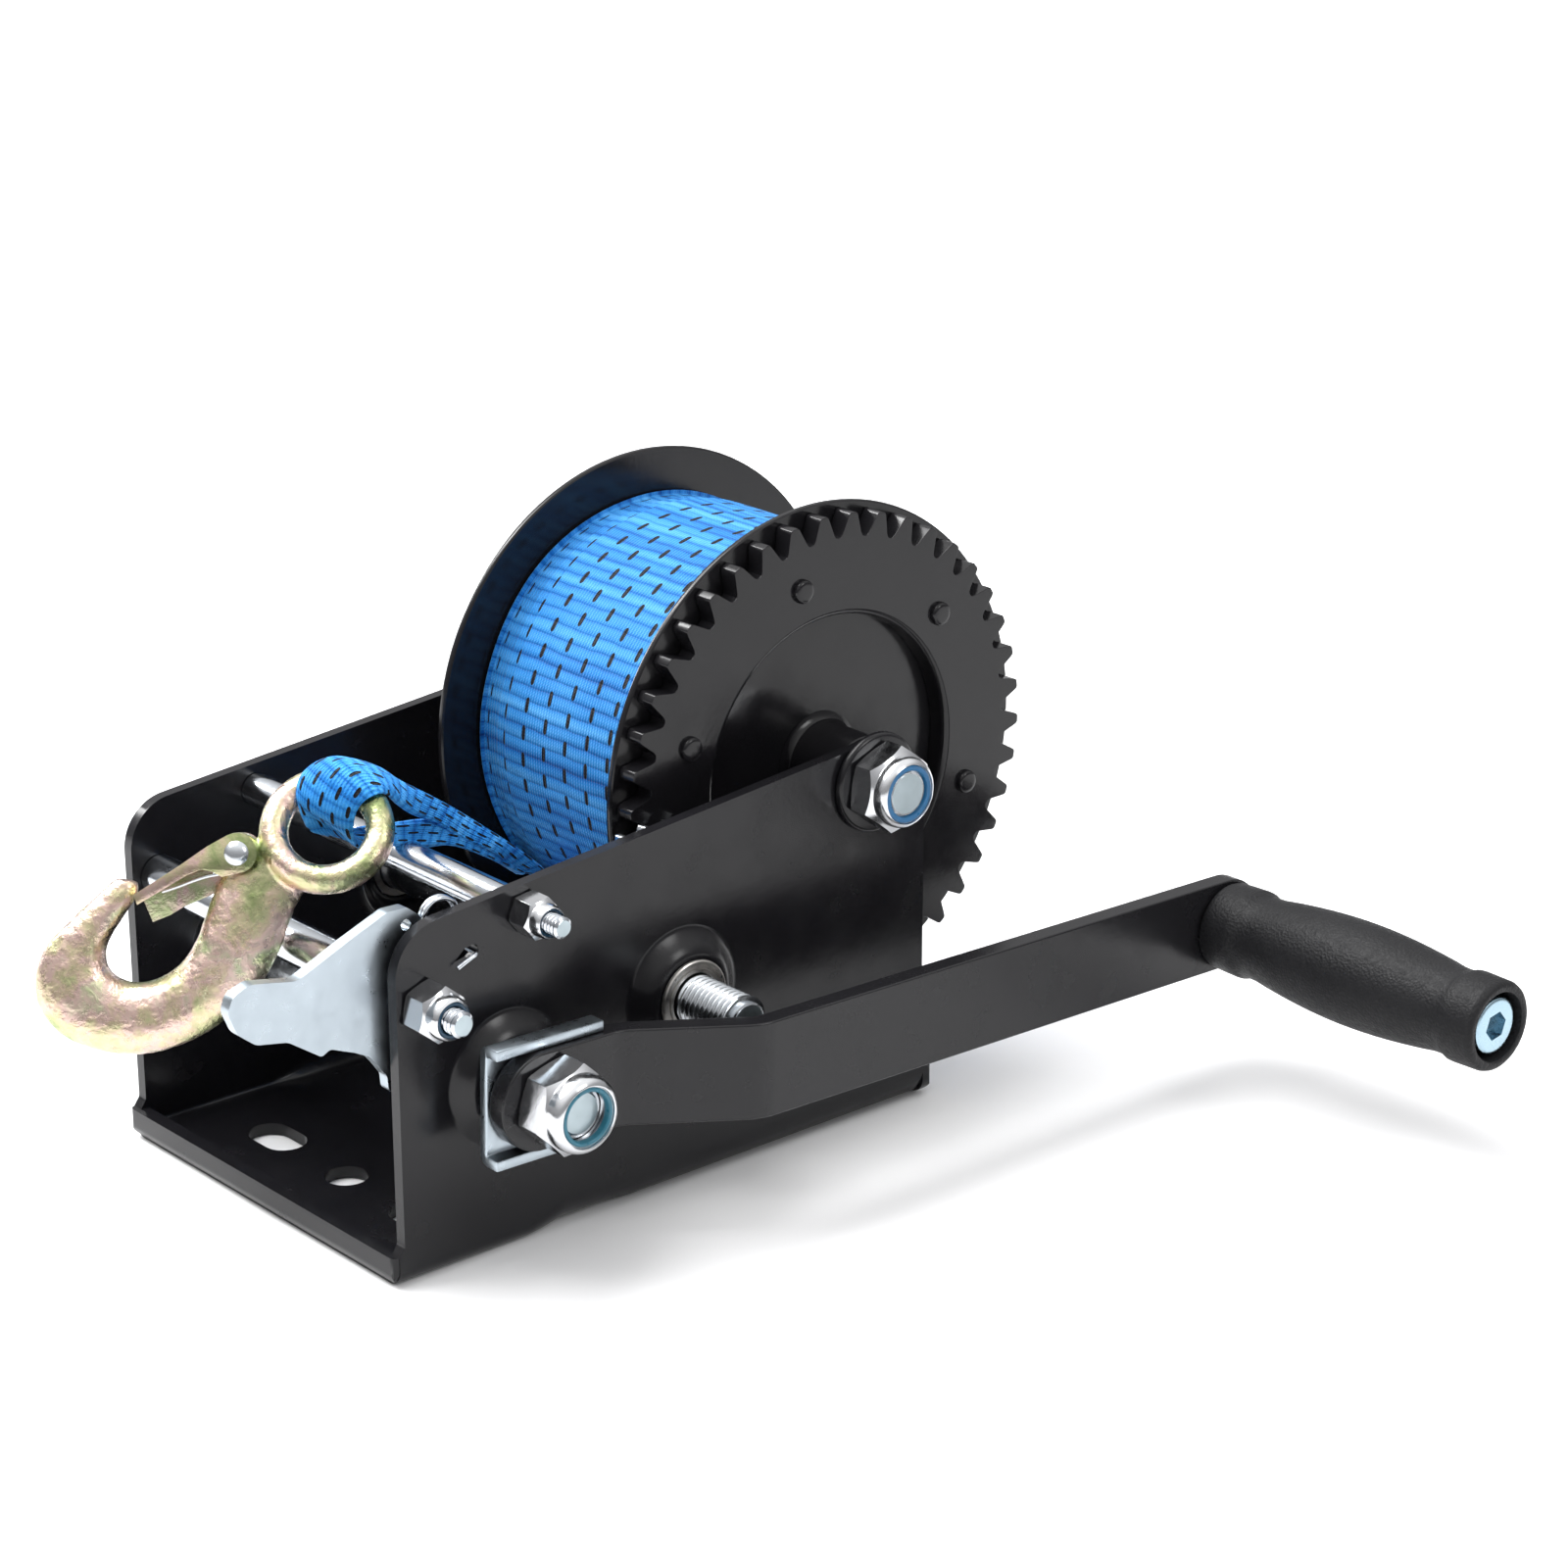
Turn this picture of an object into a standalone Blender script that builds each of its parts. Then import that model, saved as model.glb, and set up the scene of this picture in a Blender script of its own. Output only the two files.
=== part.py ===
"""Two-speed boat trailer winch with webbing strap and latched hook.

Frame of reference: +Z up, +X along the shafts towards the crank handle,
+Y along the base towards the drum end.  The origin lies on the underside of
the base, midway between the side plates.  All dimensions are in millimetres
and are scaled to metres by MM.
"""
import math

import bmesh
import bpy
from mathutils import Matrix, Vector

MM = 0.001
GAP = 0.3            # clearance between separate pieces

# ---------------------------------------------------------------- dimensions
SHEET = 3.0          # frame sheet
HALF_W = 54.0        # outside of the side plates
PLATE_Y0, PLATE_Y1 = -78.0, 76.7
BASE_Y0, BASE_Y1 = -81.0, 80.7
LIP_H = 7.3
TOP_Z0, TOP_SLOPE = 83.0, 0.092     # height of the plates at PLATE_Y0
BOSS_R0, BOSS_R1, BOSS_H = 14.4, 11.2, 4.0

CRANK = (-48.8, 42.05)              # (Y, Z) of the shaft centres
COUNTER = (1.2, 48.3)
DRUM = (60.2, 85.96)
TIE_UP = (-42.9, 79.9)
TIE_LOW = (-70.8, 65.1)
SHAFT_R = 6.0
BUSH_IN, BUSH_OUT, BUSH_FLANGE = SHAFT_R + GAP, 8.1, 9.4

FLANGE_R = 63.2
FLANGE_T = 2.0
FLANGE_FAR_X = -32.3                # outer face of the far flange
FLANGE_NEAR_X = 32.3                # strap side of the near flange
CORE_R = 20.0
STRAP_W = 60.0
STRAP_X0 = -29.2
ROLL_R = 53.0

DRUM_TEETH, PINION_TEETH = 42, 8
BIG_TEETH, SMALL_TEETH = 36, 14
GEAR_X0, GEAR_X1 = 34.6, 39.6       # drum gear
GEAR_BORE = 37.2
RIVET_PCR = 46.0
TRAIN_X0, TRAIN_X1 = 41.4, 45.8     # crank pinion and counter gear
RATCHET_X0, RATCHET_X1 = 46.2, 49.2
RATCHET_R, RATCHET_TEETH = 15.0, 8

ARM_W, ARM_T = 23.0, 5.0
ARM_X = 65.3                        # inner face at the hub
ARM_JOG = 17.0
ARM_LEN = 197.4
ARM_DROP = math.radians(1.6)
GRIP_X0, GRIP_X1 = 87.7, 172.8
GRIP_R = 11.0

EYE = (9.7, -64.0, 91.9)            # centre of the hook eye
HOOK_AZ, HOOK_EL = math.radians(48.9), math.radians(19.7)
EYE_R, EYE_TUBE = 11.3, 3.5
HOOK_T = 9.0


# ------------------------------------------------------------------- helpers
def clear_scene():
    for ob in list(bpy.data.objects):
        bpy.data.objects.remove(ob, do_unlink=True)


def material(name, rgb, rough, metal):
    mat = bpy.data.materials.new(name)
    mat.use_nodes = True
    bsdf = mat.node_tree.nodes["Principled BSDF"]
    bsdf.inputs["Base Color"].default_value = (*rgb, 1.0)
    bsdf.inputs["Roughness"].default_value = rough
    bsdf.inputs["Metallic"].default_value = metal
    return mat


LOOKS = {
    "black": ((0.035, 0.035, 0.038), 0.28, 0.0),
    "zinc": ((0.78, 0.80, 0.82), 0.28, 1.0),
    "rubber": ((0.055, 0.056, 0.06), 0.62, 0.0),
    "nylon": ((0.02, 0.25, 0.55), 0.4, 0.0),
    "bronze": ((0.42, 0.38, 0.33), 0.35, 1.0),
    "chromate": ((0.66, 0.58, 0.34), 0.32, 1.0),
    "webbing": ((0.03, 0.26, 0.72), 0.75, 0.0),
}


def finish(ob, look, smooth=True):
    ob.data.materials.clear()
    rgb, rough, metal = LOOKS[look]
    ob.data.materials.append(material(ob.name + "_mat", rgb, rough, metal))
    if smooth:
        ob.data.shade_smooth()
        ob.data.set_sharp_from_angle(angle=math.radians(35))
    return ob


def new_object(name, bm, parent=None, look=None, smooth=True):
    bmesh.ops.remove_doubles(bm, verts=bm.verts, dist=1e-6)
    bmesh.ops.recalc_face_normals(bm, faces=bm.faces)
    mesh = bpy.data.meshes.new(name)
    bm.to_mesh(mesh)
    bm.free()
    ob = bpy.data.objects.new(name, mesh)
    bpy.context.scene.collection.objects.link(ob)
    if parent is not None:
        ob.parent = parent
    if look:
        finish(ob, look, smooth)
    return ob


def empty(name, loc, rot=None, parent=None):
    ob = bpy.data.objects.new(name, None)
    ob.empty_display_size = 0.02
    ob.location = [c * MM for c in loc]
    if rot is not None:
        ob.rotation_mode = "QUATERNION"
        ob.rotation_quaternion = rot.to_quaternion()
    if parent is not None:
        ob.parent = parent
    bpy.context.scene.collection.objects.link(ob)
    return ob


def lathe_bm(profile, seg, bm=None):
    """Turn a closed (x, r) outline about the X axis.  Points with r == 0 sit
    on the axis and give a solid piece; without them the piece is a ring."""
    bm = bm or bmesh.new()
    rows = []
    for x, r in profile:
        if r < 1e-9:
            rows.append([bm.verts.new((x * MM, 0, 0))])
        else:
            rows.append([bm.verts.new((x * MM,
                                       r * MM * math.cos(2 * math.pi * i / seg),
                                       r * MM * math.sin(2 * math.pi * i / seg)))
                         for i in range(seg)])
    n = len(rows)
    for k in range(n):
        a, b = rows[k], rows[(k + 1) % n]
        if len(a) == 1 and len(b) == 1:
            continue
        for i in range(seg):
            j = (i + 1) % seg
            if len(a) == 1:
                bm.faces.new((a[0], b[j], b[i]))
            elif len(b) == 1:
                bm.faces.new((a[i], a[j], b[0]))
            else:
                bm.faces.new((a[i], a[j], b[j], b[i]))
    return bm


def solid_x(name, profile, seg, parent, look):
    """Turned solid: the outline starts and ends on the axis."""
    pts = [(profile[0][0], 0.0)] + list(profile) + [(profile[-1][0], 0.0)]
    return new_object(name, lathe_bm(pts, seg), parent, look)


def ring_x(name, profile, seg, parent, look):
    return new_object(name, lathe_bm(profile, seg), parent, look)


def prism_bm(loops, a0, a1, axis="X"):
    """Extrude flat loops (the first is the outline, the rest are holes)."""
    def place(p, h):
        if axis == "X":
            return Vector((h, p[0], p[1])) * MM
        if axis == "Y":
            return Vector((p[0], h, p[1])) * MM
        return Vector((p[0], p[1], h)) * MM
    bm = bmesh.new()
    edges = []
    for loop in loops:
        vs = [bm.verts.new(place(p, a0)) for p in loop]
        edges += [bm.edges.new((vs[i], vs[(i + 1) % len(vs)])) for i in range(len(vs))]
    out = bmesh.ops.triangle_fill(bm, use_beauty=True, use_dissolve=False, edges=edges)
    faces = [g for g in out["geom"] if isinstance(g, bmesh.types.BMFace)]
    ext = bmesh.ops.extrude_face_region(bm, geom=faces)
    verts = [g for g in ext["geom"] if isinstance(g, bmesh.types.BMVert)]
    bmesh.ops.translate(bm, verts=verts, vec=place((0, 0), a1) - place((0, 0), a0))
    return bm


def prism(name, loops, a0, a1, parent=None, look=None, axis="X", smooth=True):
    return new_object(name, prism_bm(loops, a0, a1, axis), parent, look, smooth)


def circle(r, n, c=(0.0, 0.0), start=0.0):
    return [(c[0] + r * math.cos(start + 2 * math.pi * i / n),
             c[1] + r * math.sin(start + 2 * math.pi * i / n)) for i in range(n)]


def slot(c, length, width, n=8, turn=0.0):
    """Round-ended slot outline."""
    r, h = width / 2, (length - width) / 2
    pts = []
    for side in (0, 1):
        for i in range(n + 1):
            a = -math.pi / 2 + math.pi * i / n + side * math.pi
            pts.append((r * math.cos(a) + (h if side == 0 else -h), r * math.sin(a)))
    ct, st = math.cos(turn), math.sin(turn)
    return [(c[0] + x * ct - y * st, c[1] + x * st + y * ct) for x, y in pts]


def round_poly(pts, radii, n=5):
    """Polygon with each corner rounded by its own radius."""
    out = []
    m = len(pts)
    for i in range(m):
        p, a, b = Vector(pts[i]), Vector(pts[i - 1]), Vector(pts[(i + 1) % m])
        r = radii[i] if isinstance(radii, (list, tuple)) else radii
        u, v = (a - p).normalized(), (b - p).normalized()
        ang = u.angle(v)
        if r <= 0 or ang > math.pi - 0.02:
            out.append(tuple(p))
            continue
        d = min(r / math.tan(ang / 2), (a - p).length * 0.49, (b - p).length * 0.49)
        r = d * math.tan(ang / 2)
        c = p + (u + v).normalized() * (r / math.sin(ang / 2))
        s, e = p + u * d - c, p + v * d - c
        tot = s.angle(e)
        cross = s.x * e.y - s.y * e.x
        sg = 1.0 if cross > 0 else -1.0
        for k in range(n + 1):
            t = sg * tot * k / n
            ct, st = math.cos(t), math.sin(t)
            out.append((c.x + s.x * ct - s.y * st, c.y + s.x * st + s.y * ct))
    return out


def smooth_loop(pts, n=3):
    """Closed Catmull-Rom curve through the outline points."""
    out = []
    m = len(pts)
    for i in range(m):
        p0, p1, p2, p3 = (Vector(pts[(i + k) % m]) for k in (-1, 0, 1, 2))
        for k in range(n):
            t = k / n
            q = 0.5 * ((2 * p1) + (p2 - p0) * t + (2 * p0 - 5 * p1 + 4 * p2 - p3) * t * t
                       + (3 * p1 - p0 - 3 * p2 + p3) * t ** 3)
            out.append(tuple(q))
    return out


def gear_outline(teeth, module, add=0.9, ded=1.2, thick=0.44, steps=2, phase=0.0,
                 pressure=20.0):
    """Involute spur gear outline with thinned teeth."""
    rp = teeth * module / 2
    rb = rp * math.cos(math.radians(pressure))
    rt, rr = rp + add * module, rp - ded * module
    inv = lambda r: math.sqrt(max((r / rb) ** 2 - 1, 0)) - math.acos(min(1.0, rb / r))
    half_p = thick * math.pi / teeth
    pts = []
    r0 = max(rb, rr + 0.02 * module)
    for k in range(teeth):
        c = phase + 2 * math.pi * k / teeth
        flank = []
        for s in range(steps + 1):
            r = r0 + (rt - r0) * s / steps
            flank.append((r, half_p + inv(rp) - inv(r)))
        base_half = flank[0][1]
        left = [(rr, -base_half)] if rb > rr + 0.3 else []
        left += [(r, -h) for r, h in flank]
        right = [(r, h) for r, h in reversed(flank)]
        right += [(rr, base_half)] if rb > rr + 0.3 else []
        for r, a in left + right:
            pts.append((r * math.cos(c + a), r * math.sin(c + a)))
    return pts


def boolean(ob, cutter, op="DIFFERENCE"):
    mod = ob.modifiers.new(op.title(), "BOOLEAN")
    mod.operation = op
    mod.solver = "EXACT"
    mod.object = cutter
    cutter.hide_render = True
    cutter.display_type = "WIRE"
    return mod


def hex_loop(af, turn=0.0):
    return circle(af / math.sqrt(3), 6, start=turn)


def nut(name, x0, height, af, bore, parent, dome=True, turn=0.0, ring=None):
    """Hexagon nut along X with chamfered corners; dome adds the raised collar
    that holds a locking ring."""
    body_h = height * (0.72 if dome else 1.0)
    ob = prism(name, [hex_loop(af, turn)], x0, x0 + body_h, parent)
    r_in = af / 2 * 0.96
    tip = af / math.sqrt(3) * 1.02
    big = tip + 1.0
    if dome:
        prof = [(x0 - 1, big), (x0 - 1, r_in + 0.2), (x0, r_in + 0.2), (x0 + 0.6, tip),
                (x0 + body_h - 1.3, tip), (x0 + body_h - 0.02, r_in - 0.15),
                (x0 + body_h + 1, r_in - 0.15), (x0 + body_h + 1, big)]
    else:
        prof = [(x0 - 1, big), (x0 - 1, r_in), (x0, r_in), (x0 + 0.6, tip),
                (x0 + body_h - 0.6, tip), (x0 + body_h, r_in),
                (x0 + body_h + 1, r_in), (x0 + body_h + 1, big)]
    cut = ring_x(name + "_chamfer", prof, 18, parent, None)
    boolean(ob, cut)
    if dome:
        collar = solid_x(name + "_collar",
                         [(x0 + body_h - 1.2, r_in * 0.9), (x0 + height - 1.2, r_in * 0.9),
                          (x0 + height, r_in * (0.79 if r_in > 7 else 0.85))], 20, parent, None)
        boolean(ob, collar, "UNION")
    hole = [(x0 - 1, bore), (x0 + height + 1, bore)]
    if ring:
        rr, depth = ring
        hole = [(x0 - 1, bore), (x0 + height - depth, bore), (x0 + height - depth, rr + GAP),
                (x0 + height + 1, rr + GAP)]
    boolean(ob, solid_x(name + "_bore", hole, 20, parent, None))
    finish(ob, "zinc")
    return ob


# ---------------------------------------------------------------------- frame
def top_z(y):
    return TOP_Z0 + TOP_SLOPE * (y - PLATE_Y0)


def build_frame():
    def bend(outer_r, soft):
        """One side of the channel section, from the plate top down and in
        to the middle of the floor (outside first, then inside back up)."""
        if soft:
            outer = [(54.0, 7.5), (53.4, 3.6), (51.6, 0.7), (48.6, 0.0)]
        else:
            c = HALF_W - outer_r
            outer = [(c + outer_r * math.cos(math.radians(a)),
                      outer_r - outer_r * math.sin(math.radians(a)))
                     for a in (0, 30, 60, 90)]
        ri = outer_r - SHEET
        c = HALF_W - outer_r
        inner = [(c + ri * math.cos(math.radians(a)), outer_r - ri * math.sin(math.radians(a)))
                 for a in (90, 60, 30, 0)]
        return outer, inner

    stations = [(-79.5, 4.0, False), (-43.0, 4.0, False), (-33.0, 7.5, False),
                (-22.0, 7.5, False), (-11.0, 7.5, True), (79.2, 7.5, True)]
    bm = bmesh.new()
    rows = []
    for y, r, soft in stations:
        outer, inner = bend(r, soft)
        right = [(HALF_W, 110.0)] + outer
        right_in = inner + [(HALF_W - SHEET, 110.0)]
        loop = right + [(-x, z) for x, z in reversed(right)]
        loop += [(-x, z) for x, z in reversed(right_in)] + right_in
        rows.append([bm.verts.new((x * MM, y * MM, z * MM)) for x, z in loop])
    n = len(rows[0])
    for a, b in zip(rows, rows[1:]):
        for i in range(n):
            j = (i + 1) % n
            bm.faces.new((a[i], a[j], b[j], b[i]))
    bmesh.ops.triangle_fill(bm, use_beauty=True, use_dissolve=False,
                            edges=[bm.edges.get((rows[0][i], rows[0][(i + 1) % n])) for i in range(n)])
    bmesh.ops.triangle_fill(bm, use_beauty=True, use_dissolve=False,
                            edges=[bm.edges.get((rows[-1][i], rows[-1][(i + 1) % n])) for i in range(n)])
    frame = new_object("frame", bm)

    # side view outline, kept by an intersection
    side = round_poly([(-79.5, -1.0), (79.2, -1.0), (79.2, LIP_H), (PLATE_Y1, LIP_H + 2.0),
                       (PLATE_Y1, top_z(PLATE_Y1)), (PLATE_Y0, top_z(PLATE_Y0)),
                       (PLATE_Y0, LIP_H + 2.0), (-79.5, LIP_H)],
                      [0, 0, 0.8, 1.2, 15.0, 12.0, 1.2, 0.8], 6)
    boolean(frame, prism("frame_side_view", [side], -60, 60), "INTERSECT")

    # upturned lips at both ends of the base
    for tag, s, out, inn in (("front", -1, BASE_Y0, PLATE_Y0 + 0.6), ("rear", 1, BASE_Y1, PLATE_Y1 + 0.9)):
        hw = HALF_W - 0.2
        plan = round_poly([(-hw, inn), (hw, inn), (hw, out), (-hw, out)], [0, 0, 4.0, 4.0], 3)
        lip = prism("frame_lip_" + tag, [plan], 0.1, LIP_H, axis="Z")
        trim = [(out + s * 3, -1.0), (out - s * 2.6, -1.0), (out - s * 2.6, 0.1), (out - s * 0.9, 0.9),
                (out, 2.7), (out + s * 3, 2.8)]
        boolean(lip, prism("frame_lip_trim_" + tag, [trim], -60, 60))
        for sx in (-1, 1):
            t2 = [(sx * (hw + 4), -1.0), (sx * (hw - 4.2), -1.0), (sx * (hw - 4.2), 0.05), (sx * (hw - 1.2), 1.4),
                  (sx * (hw + 0.1), 4.4), (sx * (hw + 4), 4.5)]
            boolean(lip, prism("frame_lip_corner_%s_%s" % (tag, "r" if sx > 0 else "l"), [t2], -90, 90, axis="Y"))
        boolean(frame, lip, "UNION")

    # embossed bosses around the shaft bearings, both plates
    for sx, side_name in ((1, "near"), (-1, "far")):
        for tag, (y, z) in (("crank", CRANK), ("counter", COUNTER)):
            hub = empty("frame_%s_%s_axis" % (tag, side_name), (0, y, z))
            x_o, x_i = sx * HALF_W, sx * (HALF_W - SHEET)
            boss = solid_x("frame_boss_%s_%s" % (tag, side_name),
                           [(x_o - sx * 1.0, BOSS_R0), (x_o, BOSS_R0),
                            (x_o + sx * (BOSS_H - 1.0), BOSS_R1 + 0.7),
                            (x_o + sx * BOSS_H, BOSS_R1 - 0.5)], 28, hub, None)
            boolean(frame, boss, "UNION")
            bore = solid_x("frame_bore_%s_%s" % (tag, side_name),
                           [(x_i - sx * 1.0, 11.2), (x_i + sx * BOSS_H, 9.8),
                            (x_i + sx * BOSS_H, BUSH_OUT + GAP), (x_o + sx * 6, BUSH_OUT + GAP)],
                           20, hub, None)
            boolean(frame, bore)
    holes = [("drum", DRUM, 6.0 + GAP), ("tie_up", TIE_UP, 2.6 + GAP), ("tie_low", TIE_LOW, 3.1 + GAP)]
    for tag, (y, z), r in holes:
        boolean(frame, prism("frame_hole_" + tag, [circle(r, 16, (y, z))], -60, 60))
    # keyhole for the end of the pawl spring, near plate only
    key = round_poly([(-56.3, 75.8), (-55.7, 73.4), (-57.6, 72.2), (-62.6, 71.1), (-62.9, 72.6),
                      (-59.4, 75.4)], [1.2, 1.2, 0.6, 0.3, 0.3, 1.2], 2)
    boolean(frame, prism("frame_keyhole", [key], 45, 60))
    # mounting holes in the base
    for tag, loop in (("slot_a", slot((-24.5, -58.7), 17.0, 10.5)),
                      ("hole_b", circle(5.2, 20, (4.0, -58.7))),
                      ("slot_c", slot((32.5, -58.7), 17.0, 10.5)),
                      ("slot_d", slot((4.0, 52.0), 17.0, 10.5, turn=math.pi / 2))):
        boolean(frame, prism("frame_" + tag, [loop], -5, 20, axis="Z"))
    finish(frame, "black")
    return frame


# ----------------------------------------------------------------------- drum
def build_drum():
    ax = empty("drum_axis", (0, *DRUM))
    rivets = [math.radians(42 + 60 * k) for k in range(6)]
    holes = [circle(2.3 + GAP, 8, (RIVET_PCR * math.cos(a), RIVET_PCR * math.sin(a)))
             for a in rivets]
    bore = 8.2 + GAP

    # flanges: plain discs with a rolled outer edge
    for name, x0, out in (("drum_flange_far", FLANGE_FAR_X, -1), ("drum_flange_near", FLANGE_NEAR_X, 1)):
        x1 = x0 + FLANGE_T
        prof = [(x0, bore), (x1, bore), (x1, FLANGE_R - 0.5), (x0 + 1, FLANGE_R), (x0, FLANGE_R - 0.5)]
        ob = ring_x(name, prof, 56, ax, "black")
        if out > 0:
            for k, h in enumerate(holes):
                boolean(ob, prism("%s_rivet_hole_%d" % (name, k), [h], x0 - 1, x1 + 1, ax))
    ring_x("drum_core", [(FLANGE_FAR_X + FLANGE_T + GAP, CORE_R - 3), (FLANGE_NEAR_X - GAP, CORE_R - 3),
                         (FLANGE_NEAR_X - GAP, CORE_R), (FLANGE_FAR_X + FLANGE_T + GAP, CORE_R)],
           32, ax, "black")
    m = 2 * math.dist(COUNTER, DRUM) / (DRUM_TEETH + PINION_TEETH)
    # one tooth of the drum gear faces the counter pinion
    to_pinion = math.atan2(COUNTER[1] - DRUM[1], COUNTER[0] - DRUM[0])
    outline = gear_outline(DRUM_TEETH, m, add=0.95, ded=1.15, thick=0.42, steps=1,
                           phase=to_pinion)
    prism("drum_gear", [outline, circle(GEAR_BORE, 36)] + holes, GEAR_X0, GEAR_X1, ax, "black")
    for k, a in enumerate(rivets):
        e = empty("rivet_%d_axis" % (k + 1), (0, RIVET_PCR * math.cos(a), RIVET_PCR * math.sin(a)), parent=ax)
        solid_x("gear_rivet_%d" % (k + 1),
                [(FLANGE_NEAR_X - 0.9, 1.6), (FLANGE_NEAR_X - GAP, 2.1), (GEAR_X1 + GAP, 2.1),
                 (GEAR_X1 + GAP, 2.9), (GEAR_X1 + 1.4, 1.6)], 10, e, "black")
    # hubs welded to the flanges
    ring_x("drum_hub_near", [(FLANGE_NEAR_X + FLANGE_T + GAP, bore), (50.4, bore), (50.4, 11.0),
                             (FLANGE_NEAR_X + FLANGE_T + GAP, 11.0)], 24, ax, "black")
    ring_x("drum_hub_far", [(-50.4, bore), (FLANGE_FAR_X - GAP, bore), (FLANGE_FAR_X - GAP, 11.0),
                            (-50.4, 11.0)], 24, ax, "black")
    # axle: fixed bolt in a spacer tube
    st = empty("drum_axle_axis", (0, *DRUM))
    ring_x("drum_axle_tube", [(-50.7, 6.0 + GAP), (50.7, 6.0 + GAP), (50.7, 8.2), (-50.7, 8.2)], 20, st, "zinc")
    bolt = solid_x("drum_axle_bolt", [(-56.6, 6.0), (64.6, 6.0), (65.8, 4.9)], 20, st, None)
    head = prism("drum_axle_bolt_head", [hex_loop(18.0)], -64.2, -56.6 + 0.01, st)
    boolean(bolt, head, "UNION")
    finish(bolt, "zinc")
    for name, x0 in (("drum_washer_near", HALF_W + GAP), ("drum_washer_far", -HALF_W - GAP - 1.8)):
        ring_x(name, [(x0, 6.0 + GAP), (x0 + 1.8, 6.0 + GAP), (x0 + 1.8, 11.8), (x0, 12.2)], 20, st, "black")
    nut("drum_nut", 56.4, 10.4, 18.4, 6.0 + GAP, st, turn=math.radians(22), ring=(6.75, 1.6))
    ring_x("drum_nut_ring", [(65.3, 6.3), (66.5, 6.3), (66.5, 6.75), (65.3, 6.75)], 20, st, "nylon")
    # strap wound on the drum
    ring_x("strap_roll", [(STRAP_X0, CORE_R + GAP), (STRAP_X0 + STRAP_W, CORE_R + GAP),
                          (STRAP_X0 + STRAP_W, ROLL_R), (STRAP_X0, ROLL_R)], 44, ax, "webbing")
    return ax


# ----------------------------------------------------------------- gear train
def build_counter():
    ax = empty("counter_axis", (0, *COUNTER))
    solid_x("countershaft", [(-60.5, 5.4), (-60.0, 6.0), (76.2, 6.0), (77.6, 4.8)], 20, ax, "zinc")
    m = 2 * math.dist(COUNTER, DRUM) / (DRUM_TEETH + PINION_TEETH)
    to_drum = math.atan2(DRUM[1] - COUNTER[1], DRUM[0] - COUNTER[0])
    prism("counter_pinion", [gear_outline(PINION_TEETH, m, add=0.8, ded=1.12, thick=0.40, steps=3,
                                          phase=to_drum + math.pi / PINION_TEETH), circle(SHAFT_R + GAP, 20)],
          GEAR_X0 + 0.2, GEAR_X1 + 0.3, ax, "zinc")
    m2 = 2 * math.dist(COUNTER, CRANK) / (BIG_TEETH + SMALL_TEETH)
    to_crank = math.atan2(CRANK[1] - COUNTER[1], CRANK[0] - COUNTER[0])
    light = [circle(5.5, 10, (22 * math.cos(a), 22 * math.sin(a)))
             for a in (math.radians(30 + 60 * k) for k in range(6))]
    prism("counter_gear", [gear_outline(BIG_TEETH, m2, add=0.9, ded=1.15, thick=0.42, steps=1,
                                        phase=to_crank + math.pi / BIG_TEETH),
                           circle(SHAFT_R + GAP, 20)] + light,
          TRAIN_X0, TRAIN_X1, ax, "zinc")
    st = empty("counter_bearing_axis", (0, *COUNTER))
    bushing("counter_bushing_near", 1, st)
    bushing("counter_bushing_far", -1, st)
    clip("counter_clip", ax)
    return ax


def bushing(name, s, parent):
    """Flanged plain bearing pressed into a boss from outside."""
    xi, xo = s * (HALF_W - SHEET + BOSS_H + 0.2), s * (HALF_W + BOSS_H + GAP)
    ring_x(name, [(xi, BUSH_IN), (xo + s * 0.9, BUSH_IN), (xo + s * 0.9, BUSH_FLANGE),
                  (xo, BUSH_FLANGE), (xo, BUSH_OUT), (xi, BUSH_OUT)], 20, parent, "bronze")


def clip(name, parent):
    x = -HALF_W - BOSS_H - 2.7
    ring_x(name, [(x, SHAFT_R + GAP), (x + 1.2, SHAFT_R + GAP), (x + 1.2, 9.0), (x, 9.0)], 16, parent, "zinc")


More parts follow.
